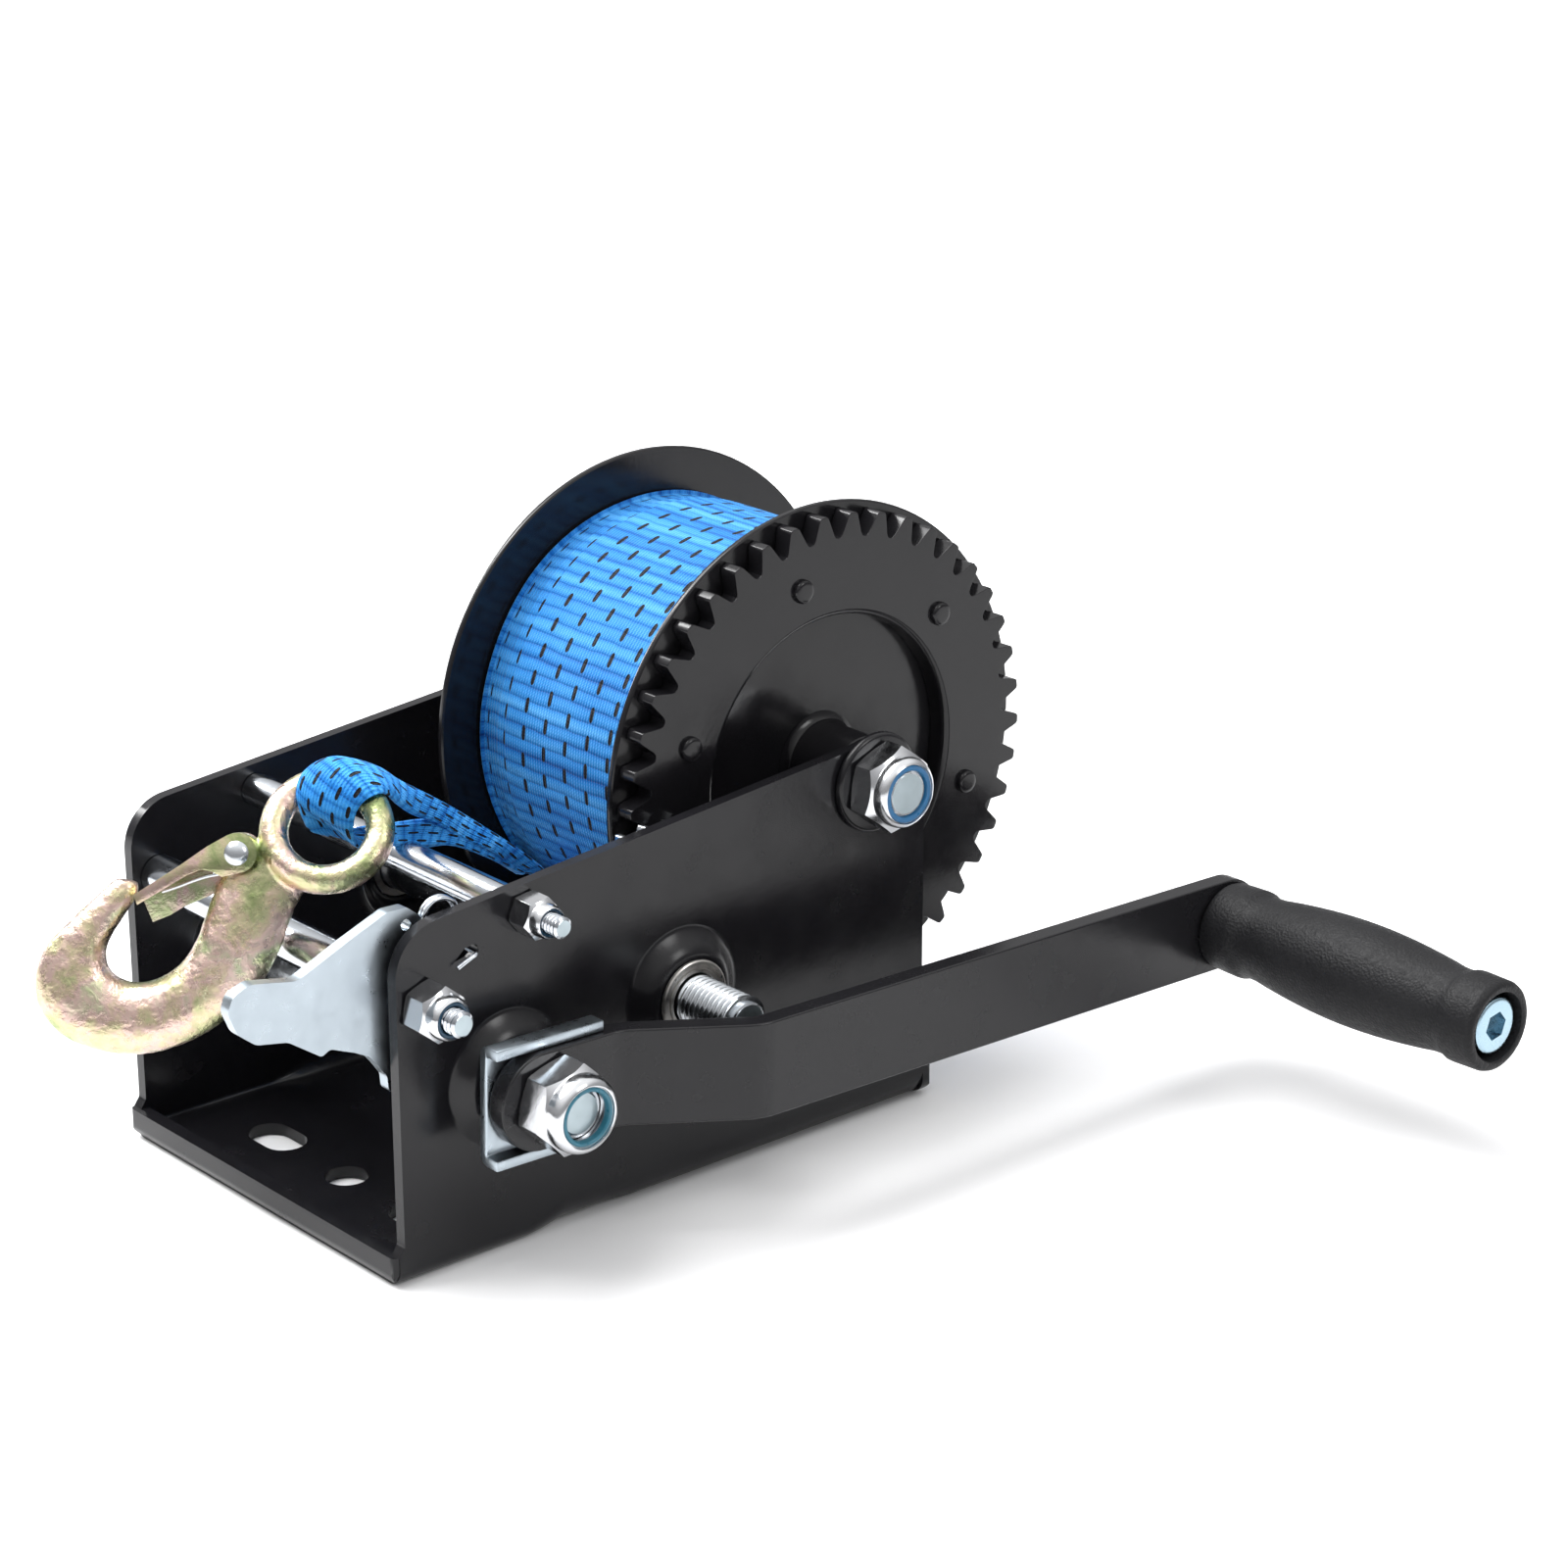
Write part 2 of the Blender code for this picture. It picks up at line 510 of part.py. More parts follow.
def build_crank():
    ax = empty("crank_axis", (0, *CRANK))
    solid_x("crank_shaft", [(-60.5, 5.4), (-60.0, 6.0), (77.4, 6.0), (78.6, 5.0)], 20, ax, "zinc")
    m2 = 2 * math.dist(COUNTER, CRANK) / (BIG_TEETH + SMALL_TEETH)
    to_counter = math.atan2(COUNTER[1] - CRANK[1], COUNTER[0] - CRANK[0])
    prism("crank_pinion", [gear_outline(SMALL_TEETH, m2, add=0.9, ded=1.15, thick=0.42, steps=2,
                                        phase=to_counter), circle(SHAFT_R + GAP, 20)],
          TRAIN_X0, TRAIN_X1, ax, "zinc")
    # ratchet wheel: symmetrical teeth, one of them facing the pawl pivot so
    # that either pawl tip drops into a gap
    to_pawl = math.atan2(TIE_LOW[1] - CRANK[1], TIE_LOW[0] - CRANK[0])
    pts = []
    for k in range(RATCHET_TEETH):
        a = to_pawl + 2 * math.pi * k / RATCHET_TEETH
        for d, r in ((-0.20, 11.0), (-0.10, RATCHET_R), (0.10, RATCHET_R), (0.20, 11.0)):
            pts.append((r * math.cos(a + d), r * math.sin(a + d)))
    prism("ratchet_wheel", [pts, circle(SHAFT_R + GAP, 20)], RATCHET_X0, RATCHET_X1, ax, "zinc")
    st = empty("crank_bearing_axis", (0, *CRANK))
    bushing("crank_bushing_near", 1, st)
    bushing("crank_bushing_far", -1, st)
    clip("crank_clip", ax)
    ring_x("crank_spacer", [(59.5, SHAFT_R + GAP), (62.1, SHAFT_R + GAP), (62.1, 10.0), (59.5, 10.0)],
           20, ax, "zinc")
    # channel that keys the arm to the shaft
    tilt = empty("arm_axis", (0, 0, 0), Matrix.Rotation(-ARM_DROP, 4, "X"), ax)
    h = ARM_W / 2 + GAP + 2.4
    y0, y1, x0, x1, t = -14.0, 15.6, 62.4, 68.6, 2.5
    section = round_poly([(x0, -h), (x1, -h), (x1, -h + t), (x0 + t, -h + t), (x0 + t, h - t), (x1, h - t),
                          (x1, h), (x0, h)], [2.2, 0.5, 0.5, 0.3, 0.3, 0.5, 0.5, 2.2], 4)
    bracket = prism("arm_bracket", [section], y0, y1, tilt, axis="Y")
    boolean(bracket, solid_x("arm_bracket_bore", [(x0 - 1, SHAFT_R + GAP), (x0 + 6, SHAFT_R + GAP)], 20, tilt, None))
    finish(bracket, "zinc")
    # cranked flat bar
    side = [(-20.0, ARM_X), (21.0, ARM_X), (48.0, ARM_X + ARM_JOG), (ARM_LEN + 20, ARM_X + ARM_JOG),
            (ARM_LEN + 20, ARM_X + ARM_JOG + ARM_T), (46.0, ARM_X + ARM_JOG + ARM_T),
            (19.0, ARM_X + ARM_T), (-20.0, ARM_X + ARM_T)]
    side = round_poly(side, [0, 9, 5, 0, 0, 9, 5, 0], 5)
    # the side view lies in the Y-X plane and is extruded along Z
    arm = new_object("crank_arm", prism_bm([[(x, y) for y, x in side]], -ARM_W / 2 - 3, ARM_W / 2 + 3, "Z"),
                     tilt)
    r = ARM_W / 2
    face = [(ARM_LEN + r * math.sin(a), r * math.cos(a)) for a in (math.pi * i / 14 for i in range(15))]
    face += [(-2.2 - r * math.sin(a), -r * math.cos(a)) for a in (math.pi * i / 14 for i in range(15))]
    boolean(arm, prism("crank_arm_face", [face], 50, 100, tilt), "INTERSECT")
    boolean(arm, solid_x("crank_arm_bore", [(60, SHAFT_R + GAP), (75, SHAFT_R + GAP)], 20, tilt, None))
    end = empty("crank_arm_end", (0, ARM_LEN, 0), parent=tilt)
    boolean(arm, solid_x("crank_arm_bolt_hole", [(78, 4.0 + GAP), (95, 4.0 + GAP)], 16, end, None))
    finish(arm, "black")
    nut("crank_nut", ARM_X + ARM_T + GAP, 12.4, 18.8, SHAFT_R + GAP, ax, turn=math.radians(14), ring=(7.0, 2.4))
    x1 = ARM_X + ARM_T + GAP + 12.4
    ring_x("crank_nut_ring", [(x1 - 2.1, 5.6), (x1 - 0.1, 5.6), (x1 - 0.1, 7.0), (x1 - 2.1, 7.0)], 20, ax, "nylon")
    # handle
    g = empty("grip_axis", (0, ARM_LEN, 0), parent=tilt)
    xa, xb = GRIP_X0, GRIP_X1
    prof = [(xa, 4.3), (xb - 7.2, 4.3), (xb - 7.2, 8.4), (xb, 8.4), (xb, GRIP_R - 0.6),
            (xb - 10.0, GRIP_R + 0.3), (xb - 12.5, GRIP_R - 0.6), (xb - 27, GRIP_R + 0.9),
            ((xa + xb) / 2, GRIP_R + 1.9), (xa + 27, GRIP_R + 0.9), (xa + 12.5, GRIP_R - 0.6),
            (xa + 10.0, GRIP_R + 0.3), (xa, GRIP_R)]
    ring_x("grip", prof, 28, g, "rubber")
    b = empty("grip_bolt_axis", (0, ARM_LEN, 0), parent=tilt)
    bolt = solid_x("grip_bolt", [(75.4, 3.3), (76.2, 4.0), (xb - 6.9, 4.0), (xb - 6.9, 6.9), (xb - 1.6, 6.9),
                                 (xb - 1.0, 6.4)], 20, b, None)
    boolean(bolt, prism("grip_bolt_socket", [hex_loop(6.2, math.radians(10))], xb - 4.6, xb + 1, b))
    finish(bolt, "zinc")
    nut("grip_nut", ARM_X + ARM_JOG - GAP - 6.3, 6.3, 12.7, 4.0 + GAP, b, dome=False, turn=0.13)
    return ax


# ------------------------------------------------------------- ties and pawl
def build_ties():
    # the upper rod ends in the smaller thread, the lower one in the larger
    for tag, (y, z), r, t, af, h, x1 in (("upper", TIE_UP, 4.0, 2.5, 8.8, 7.6, 67.9), ("lower", TIE_LOW, 5.0, 3.0, 11.4, 8.6, 68.2)):
        e = empty("tie_%s_axis" % tag, (0, y, z))
        ro = t + (0.55 if tag == "upper" else 0.8)
        solid_x("tie_rod_" + tag,
                [(-58.6, t - 0.5), (-58.1, t), (-50.7, t), (-50.7, r), (50.7, r), (50.7, t),
                 (x1 - 0.8, t), (x1, t - 0.7)], 14, e, "zinc")
        nut("tie_nut_%s_near" % tag, HALF_W + GAP, h, af, t + GAP, e, turn=math.radians(8 if tag == "upper" else 20),
            ring=(ro, 1.5))
        top = HALF_W + GAP + h
        ring_x("tie_ring_%s_near" % tag, [(top - 1.2, t + 0.2), (top - 0.1, t + 0.2), (top - 0.1, ro),
                                          (top - 1.2, ro)], 14, e, "nylon")
        nut("tie_nut_%s_far" % tag, -HALF_W - GAP - 3.4, 3.4, 8.2 if tag == "upper" else 9.2, t + GAP, e, dome=False, turn=0.21)


def build_pawl():
    e = empty("pawl_axis", (0, *TIE_LOW))
    # outline about the pivot: thumb tab, spring horn and two pawl tips
    pts = [(-46.6, 9.6), (-45.2, 13.0), (-40.5, 14.6), (-29.0, 12.2), (-16.0, 17.6), (-5.2, 21.7), (-0.2, 21.5),
           (3.2, 18.8), (5.4, 12.6), (10.0, 5.0), (16.2, -2.4), (19.4, -6.5), (18.15, -7.9), (13.6, -5.6),
           (6.6, -6.9), (4.6, -14.4), (7.0, -18.5), (5.6, -19.7), (3.4, -21.8), (0.6, -24.3), (-3.2, -21.5),
           (-6.6, -19.8), (-6.9, -16.2), (-9.4, -12.7), (-11.4, -10.2), (-15.2, -8.2), (-21.4, -5.6),
           (-23.6, -6.8), (-32.0, -1.0), (-40.0, 0.6), (-44.4, 4.2)]
    loop = round_poly(pts, [3, 3, 4, 5, 6, 3, 2, 2, 5, 8, 2, 0.4, 0.4, 4, 3, 4, 0.4, 0.4, 3, 1, 1.5, 2, 2, 2, 2, 3, 2, 1.2,
                            5, 4, 4], 2)
    hole = circle(5.0 + GAP, 16)
    horn = circle(1.3, 8, (-0.6, 17.6))
    prism("pawl_lever", [loop, hole, horn], RATCHET_X0, RATCHET_X1, e, "zinc")


def tube(name, points, radius, look, parent=None, res=2):
    crv = bpy.data.curves.new(name, "CURVE")
    crv.dimensions = "3D"
    crv.resolution_u = 1
    crv.render_resolution_u = 0
    crv.bevel_depth = radius * MM
    crv.bevel_resolution = res
    crv.use_fill_caps = True
    sp = crv.splines.new("POLY")
    sp.points.add(len(points) - 1)
    for p, q in zip(sp.points, points):
        p.co = (q[0] * MM, q[1] * MM, q[2] * MM, 1.0)
    ob = bpy.data.objects.new(name, crv)
    bpy.context.scene.collection.objects.link(ob)
    if parent is not None:
        ob.parent = parent
    rgb, rough, metal = LOOKS[look]
    crv.materials.append(material(name + "_mat", rgb, rough, metal))
    return ob


def smooth_path(pts, n=4):
    out = []
    m = len(pts)
    for i in range(m - 1):
        p0 = Vector(pts[max(i - 1, 0)])
        p1, p2 = Vector(pts[i]), Vector(pts[i + 1])
        p3 = Vector(pts[min(i + 2, m - 1)])
        for k in range(n):
            t = k / n
            out.append(0.5 * ((2 * p1) + (p2 - p0) * t + (2 * p0 - 5 * p1 + 4 * p2 - p3) * t * t
                              + (3 * p1 - p0 - 3 * p2 + p3) * t ** 3))
    out.append(Vector(pts[-1]))
    return out


def build_pawl_spring():
    """Wire toggle spring: one coil above the lever, its end hooked through
    the keyhole in the near plate."""
    pts = []
    for i in range(14):
        a = math.radians(-60 + 360 * i / 12)
        pts.append((50.05 - 0.0 * i, -62.6 + 4.4 * math.cos(a), 82.3 + 4.4 * math.sin(a)))
    coil = [(49.9 + 0.0, p[1], p[2]) for p in pts[:11]]
    tail = [(50.0, -60.6, 76.6), (50.3, -58.6, 74.6), (52.0, -57.6, 74.1), (54.4, -57.6, 74.1),
            (55.2, -58.4, 73.9), (55.3, -60.6, 73.0)]
    return tube("pawl_spring", list(reversed(coil)) + tail, 0.55, "zinc", res=1)


# ----------------------------------------------------------------------- hook
def hook_frame():
    """Right, up and facing axes of the plane the hook lies in."""
    ca, sa, ce, se = math.cos(HOOK_AZ), math.sin(HOOK_AZ), math.cos(HOOK_EL), math.sin(HOOK_EL)
    u = Vector((ca, sa, 0))
    n = Vector((sa * ce, -ca * ce, se))
    v = n.cross(u)
    rot = Matrix((u, v, n)).transposed().to_4x4()
    return rot


def build_hook():
    rot = hook_frame()
    # the hook swings about the top of its eye, where the strap loop holds it
    swing = empty("hook_axis", (Vector(EYE) + (rot @ Vector((0, EYE_R, 0)))), rot)
    body_origin = empty("hook_origin", (0, -EYE_R, 0), parent=swing)
    outer = [(-43.0, -10.4), (-47.4, -11.2), (-54.0, -17.6), (-61.6, -25.4), (-65.0, -34.4), (-62.9, -43.0),
             (-54.0, -48.6), (-44.0, -50.3), (-35.1, -48.9), (-27.3, -45.6), (-19.6, -39.6), (-12.0, -30.6),
             (-9.2, -21.0), (-7.0, -13.0)]
    neck = [(-3.0, -10.2), (-8.5, -7.0), (-13.0, -3.6), (-17.0, -3.2)]
    inner = [(-22.4, -9.0), (-25.6, -15.6), (-28.4, -23.0), (-31.8, -28.9), (-37.3, -32.9), (-43.6, -34.0),
             (-47.8, -32.4), (-49.1, -28.6), (-47.6, -23.6), (-43.6, -17.8), (-41.4, -13.4)]
    loop = smooth_loop(outer + neck + inner, 1)
    hook = new_object("hook", prism_bm([loop], -HOOK_T / 2, HOOK_T / 2, "Z"), body_origin)
    bev = hook.modifiers.new("Round", "BEVEL")
    bev.width = 2.2 * MM
    bev.segments = 1
    bev.limit_method = "ANGLE"
    bev.angle_limit = math.radians(50)
    bev.use_clamp_overlap = True
    eye = bmesh.new()
    seg, tub = 24, 8
    rows = []
    for i in range(seg):
        a = 2 * math.pi * i / seg
        rows.append([eye.verts.new((((EYE_R + EYE_TUBE * math.cos(2 * math.pi * k / tub)) * math.cos(a)) * MM,
                                    ((EYE_R + EYE_TUBE * math.cos(2 * math.pi * k / tub)) * math.sin(a)) * MM,
                                    EYE_TUBE * math.sin(2 * math.pi * k / tub) * MM)) for k in range(tub)])
    for i in range(seg):
        for k in range(tub):
            a, b = rows[i], rows[(i + 1) % seg]
            eye.faces.new((a[k], a[(k + 1) % tub], b[(k + 1) % tub], b[k]))
    boolean(hook, new_object("hook_eye", eye, body_origin), "UNION")
    lug = prism("hook_lug", [circle(3.6, 20, LATCH_PIVOT) ], -3.4, 3.4, body_origin, axis="Z")
    boolean(hook, lug, "UNION")
    boolean(hook, prism("hook_pin_hole", [circle(1.7 + GAP, 16, LATCH_PIVOT)], -12, 12, body_origin, axis="Z"))
    # recessed flats along the throat, where the latch cheeks move
    flat = [(-27.0, -5.0), (-21.0, 1.4), (-12.4, -1.0), (-13.0, -9.0), (-18.6, -16.0), (-22.4, -24.0), (-26.4, -32.0),
            (-36.0, -31.0), (-33.0, -18.0)]
    for s in (-1, 1):
        z0, z1 = (3.4, 8.0) if s > 0 else (-8.0, -3.4)
        boolean(hook, prism("hook_flat_%d" % s, [flat], z0, z1, body_origin, axis="Z"))
    finish(hook, "chromate")

    piv = empty("latch_axis", (LATCH_PIVOT[0], LATCH_PIVOT[1], 0), parent=body_origin)
    # sheet latch: two cheeks and a web, its free end behind the hook tip
    L = LATCH_LEN
    ang = LATCH_ANGLE
    d = Vector((math.cos(ang), math.sin(ang)))
    w = Vector((-d.y, d.x))              # points into the throat
    def at(a, b):
        q = d * a + w * b
        return (q.x, q.y)
    cheek = []
    for i in range(9):
        a = math.pi / 2 + math.pi * i / 8
        cheek.append(at(4.2 * math.cos(a), 4.2 * math.sin(a)))
    cheek += [at(6.0, -4.2), at(L, -2.0), at(L, 2.0), at(8.0, 3.4), at(5.0, 4.0)]
    latch = prism("hook_latch", [cheek], -4.9, 4.9, piv, axis="Z")
    inner_cut = []
    for i in range(9):
        a = math.pi / 2 + math.pi * i / 8
        inner_cut.append(at(-1.0 + 6.0 * math.cos(a), 6.0 * math.sin(a)))
    inner_cut += [at(7.4, -6.5), at(9.0, -3.0), at(L + 3, -0.9), at(L + 3, 6), at(7.0, 7.0)]
    boolean(latch, prism("hook_latch_inside", [inner_cut], -3.8, 3.8, piv, axis="Z"))
    boolean(latch, prism("hook_latch_hole", [circle(1.7 + GAP, 16)], -12, 12, piv, axis="Z"))
    finish(latch, "chromate")
    pin = new_object("latch_pin", prism_bm([circle(1.7, 16)], -5.2, 5.2, "Z"), body_origin)
    pin.location = (LATCH_PIVOT[0] * MM, LATCH_PIVOT[1] * MM, 0)
    for s in (-1, 1):
        z0, z1 = (5.2, 6.3) if s > 0 else (-6.3, -5.2)
        boolean(pin, prism("latch_pin_head_%d" % s, [circle(2.9, 16, LATCH_PIVOT)], z0 - s * 0.02, z1 + s * 0.0,
                           body_origin, axis="Z"), "UNION")
    finish(pin, "zinc")
    # return spring: a short wire leg lying inside the latch
    q = [at(9.5, 1.2), at(13.0, 0.9), at(17.0, 0.6), at(21.0, 0.5)]
    tube("latch_spring", [(a, b, 0.0) for a, b in q], 0.55, "zinc", piv, 1)


LATCH_PIVOT = (-19.4, -5.4)
LATCH_LEN = 24.0
LATCH_ANGLE = math.atan2(-16.6 + 5.4, -41.6 + 19.4)


# ---------------------------------------------------------------- strap tail
def build_strap_tail():
    """The free end of the strap: it leaves the front of the roll low down,
    runs forward over the upper tie rod and is folded through the hook's eye.
    The band narrows as the webbing bunches towards the eye."""
    rot = hook_frame()
    u = (rot @ Vector((1, 0, 0)))
    v = (rot @ Vector((0, 1, 0)))
    n = (rot @ Vector((0, 0, 1)))
    eye = Vector(EYE)
    top = eye + v * EYE_R
    # centre line stations: position, across direction, width, thickness
    st = []
    cy, cz = DRUM
    rr = ROLL_R + 3.1
    for a, w in ((-137, 58.0), (-150, 57.0)):
        t = math.radians(a)
        st.append((Vector((1.0, cy + rr * math.cos(t), cz + rr * math.sin(t))), Vector((1, 0, 0)), w))
    st.append((Vector((1.4, -6.0, 67.0)), Vector((1, 0.04, 0)), 50.0))
    st.append((Vector((2.4, -24.0, 80.0)), Vector((1, 0.16, 0)), 38.0))
    st.append((Vector((3.4, -41.0, 88.6)), Vector((0.9, 0.4, 0)), 26.0))
    back = top - n * 1.0 + v * 6.4
    st.append((back, u, 17.0))
    # round the eye bar and back underneath it through the hole
    for deg, w in ((60, 14.0), (20, 13.0), (-20, 10.5), (-55, 7.0), (-90, 6.0)):
        t = math.radians(deg)
        q = top + (n * math.cos(t) + v * math.sin(t)) * 6.0
        st.append((q, u, w))
    path_p = smooth_path([s[0] for s in st], 2)
    path_u = [p.normalized() for p in smooth_path([s[1] for s in st], 2)]
    path_w = [p.x for p in smooth_path([Vector((s[2], 0, 0)) for s in st], 2)]
    bm = bmesh.new()
    rows = []
    m = len(path_p)
    cols = 5
    for i, (p, uu, w) in enumerate(zip(path_p, path_u, path_w)):
        a = path_p[max(i - 1, 0)]
        b = path_p[min(i + 1, m - 1)]
        t = (b - a).normalized()
        side = (uu - t * uu.dot(t)).normalized()
        nn = t.cross(side).normalized()
        th = 2.4
        row = []
        for s in (1, -1):
            for k in range(cols):
                x = (k / (cols - 1) - 0.5) * w * s
                row.append(bm.verts.new((p + side * x + nn * (th / 2 * s)) * MM))
        rows.append(row)
    k = len(rows[0])
    for a, b in zip(rows, rows[1:]):
        for i in range(k):
            j = (i + 1) % k
            bm.faces.new((a[i], a[j], b[j], b[i]))
    bm.faces.new(rows[0])
    bm.faces.new(list(reversed(rows[-1])))
    return new_object("strap_tail", bm, None, "webbing")


clear_scene()
build_frame()
build_drum()
build_counter()
build_crank()
build_ties()
build_pawl()
build_pawl_spring()
build_hook()
build_strap_tail()
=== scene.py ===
import math

import bmesh
import bpy
from mathutils import Matrix, Vector
from mathutils import noise as mnoise


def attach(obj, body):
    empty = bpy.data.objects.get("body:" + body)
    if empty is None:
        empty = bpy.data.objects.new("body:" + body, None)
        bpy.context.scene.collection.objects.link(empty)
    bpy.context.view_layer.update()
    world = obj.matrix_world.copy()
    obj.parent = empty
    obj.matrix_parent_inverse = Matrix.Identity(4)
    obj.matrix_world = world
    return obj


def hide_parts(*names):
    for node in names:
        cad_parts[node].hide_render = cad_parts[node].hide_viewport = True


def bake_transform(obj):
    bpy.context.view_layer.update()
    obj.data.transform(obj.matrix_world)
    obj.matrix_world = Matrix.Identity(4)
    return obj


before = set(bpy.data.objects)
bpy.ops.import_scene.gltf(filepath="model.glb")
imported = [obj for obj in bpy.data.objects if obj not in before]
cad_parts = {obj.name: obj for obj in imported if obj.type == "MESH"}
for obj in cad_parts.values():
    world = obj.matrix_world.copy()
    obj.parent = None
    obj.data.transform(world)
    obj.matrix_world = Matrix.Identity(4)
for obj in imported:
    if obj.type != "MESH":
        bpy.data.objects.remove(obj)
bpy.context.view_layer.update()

MM = 0.001
# driving dimensions, as in the CAD model
SHEET, HALF_W = 3.0, 54.0
PLATE_Y0, PLATE_Y1 = -78.0, 76.7
BASE_Y0, BASE_Y1 = -81.0, 80.7
LIP_H = 7.3
TOP_Z0, TOP_SLOPE = 83.0, 0.092
BOSS_H = 4.0
CRANK = (-48.8, 42.05)
COUNTER = (1.2, 48.3)
DRUM = (60.2, 85.96)
TIE_UP = (-42.9, 79.9)
TIE_LOW = (-70.8, 65.1)
SHAFT_R = 6.0
FLANGE_R = 63.2
ARM_W, ARM_T, ARM_X, ARM_JOG, ARM_LEN = 23.0, 5.0, 65.3, 17.0, 197.4
ARM_DROP = math.radians(1.6)
GRIP_X0, GRIP_X1, GRIP_R = 87.7, 172.8, 11.0
EYE = Vector((9.7, -64.0, 91.9))
HOOK_AZ, HOOK_EL = math.radians(48.9), math.radians(19.7)
EYE_R = 11.3
RIVET_PCR = 46.0


# =========================================================== mesh helpers
def obj_from_bm(name, bm, mat=None, smooth=40, recalc=True):
    bmesh.ops.remove_doubles(bm, verts=bm.verts, dist=1e-7)
    if recalc:
        bmesh.ops.recalc_face_normals(bm, faces=bm.faces)
    me = bpy.data.meshes.new(name)
    bm.to_mesh(me)
    bm.free()
    ob = bpy.data.objects.new(name, me)
    bpy.context.scene.collection.objects.link(ob)
    if mat:
        me.materials.append(mat)
    if smooth:
        me.shade_smooth()
        me.set_sharp_from_angle(angle=math.radians(smooth))
    return ob


def lathe_into(bm, profile, seg, yz=(0.0, 0.0), closed=False, phase=0.0):
    """Turn an (x, r) outline about the X axis through yz."""
    rows = []
    for x, r in profile:
        if r < 1e-9:
            rows.append([bm.verts.new((x * MM, yz[0] * MM, yz[1] * MM))])
        else:
            rows.append([bm.verts.new((x * MM,
                                       (yz[0] + r * math.cos(phase + 2 * math.pi * i / seg)) * MM,
                                       (yz[1] + r * math.sin(phase + 2 * math.pi * i / seg)) * MM))
                         for i in range(seg)])
    n = len(rows)
    for k in range(n if closed else n - 1):
        a, b = rows[k], rows[(k + 1) % n]
        if len(a) == 1 and len(b) == 1:
            continue
        for i in range(seg):
            j = (i + 1) % seg
            if len(a) == 1:
                bm.faces.new((a[0], b[j], b[i]))
            elif len(b) == 1:
                bm.faces.new((a[i], a[j], b[0]))
            else:
                bm.faces.new((a[i], a[j], b[j], b[i]))
    return bm


def turned(name, profile, seg, yz, mat, closed=False, smooth=40):
    """closed=True makes a ring; otherwise the outline is capped on the axis."""
    if not closed:
        profile = [(profile[0][0], 0.0)] + list(profile) + [(profile[-1][0], 0.0)]
    return obj_from_bm(name, lathe_into(bmesh.new(), profile, seg, yz, closed), mat, smooth)


def rounded_profile(pts, radii, n=4, closed=True):
    return round_poly(pts, radii, n)


def prism_bm(loops, a0, a1, axis="X"):
    def place(p, h):
        if axis == "X":
            return Vector((h, p[0], p[1])) * MM
        if axis == "Y":
            return Vector((p[0], h, p[1])) * MM
        return Vector((p[0], p[1], h)) * MM
    bm = bmesh.new()
    edges = []
    for loop in loops:
        vs = [bm.verts.new(place(p, a0)) for p in loop]
        edges += [bm.edges.new((vs[i], vs[(i + 1) % len(vs)])) for i in range(len(vs))]
    out = bmesh.ops.triangle_fill(bm, use_beauty=True, use_dissolve=False, edges=edges)
    faces = [g for g in out["geom"] if isinstance(g, bmesh.types.BMFace)]
    ext = bmesh.ops.extrude_face_region(bm, geom=faces)
    verts = [g for g in ext["geom"] if isinstance(g, bmesh.types.BMVert)]
    bmesh.ops.translate(bm, verts=verts, vec=place((0, 0), a1) - place((0, 0), a0))
    bmesh.ops.recalc_face_normals(bm, faces=bm.faces)
    return bm


def bevel_sharp(bm, width, segments=2, lo=40.0, keep=None):
    """Round every edge sharper than lo degrees, or those keep() accepts."""
    bm.normal_update()
    picked = []
    for e in bm.edges:
        if len(e.link_faces) == 2 and e.calc_face_angle(0.0) > math.radians(lo):
            if keep is None or keep(e):
                picked.append(e)
    bmesh.ops.bevel(bm, geom=picked, offset=width * MM, offset_type="OFFSET", segments=segments,
                    profile=0.5, affect="EDGES", clamp_overlap=True)
    return bm


def plate(name, loops, a0, a1, mat, axis="X", bevel=0.4, segments=2, smooth=35):
    bm = prism_bm(loops, a0, a1, axis)
    if bevel:
        bevel_sharp(bm, bevel, segments, 50.0)
    return obj_from_bm(name, bm, mat, smooth)


def circle(r, n, c=(0.0, 0.0), start=0.0):
    return [(c[0] + r * math.cos(start + 2 * math.pi * i / n),
             c[1] + r * math.sin(start + 2 * math.pi * i / n)) for i in range(n)]


def slot_loop(c, length, width, n=10, turn=0.0):
    r, h = width / 2, (length - width) / 2
    pts = []
    for side in (0, 1):
        for i in range(n + 1):
            a = -math.pi / 2 + math.pi * i / n + side * math.pi
            pts.append((r * math.cos(a) + (h if side == 0 else -h), r * math.sin(a)))
    ct, st = math.cos(turn), math.sin(turn)
    return [(c[0] + x * ct - y * st, c[1] + x * st + y * ct) for x, y in pts]


def round_poly(pts, radii, n=5):
    out = []
    m = len(pts)
    for i in range(m):
        p, a, b = Vector(pts[i]), Vector(pts[i - 1]), Vector(pts[(i + 1) % m])
        r = radii[i] if isinstance(radii, (list, tuple)) else radii
        u, v = (a - p).normalized(), (b - p).normalized()
        ang = u.angle(v)
        if r <= 0 or ang > math.pi - 0.02:
            out.append(tuple(p))
            continue
        d = min(r / math.tan(ang / 2), (a - p).length * 0.49, (b - p).length * 0.49)
        r = d * math.tan(ang / 2)
        c = p + (u + v).normalized() * (r / math.sin(ang / 2))
        s, e = p + u * d - c, p + v * d - c
        tot = s.angle(e)
        sg = 1.0 if s.x * e.y - s.y * e.x > 0 else -1.0
        for k in range(n + 1):
            t = sg * tot * k / n
            ct, st = math.cos(t), math.sin(t)
            out.append((c.x + s.x * ct - s.y * st, c.y + s.x * st + s.y * ct))
    return out


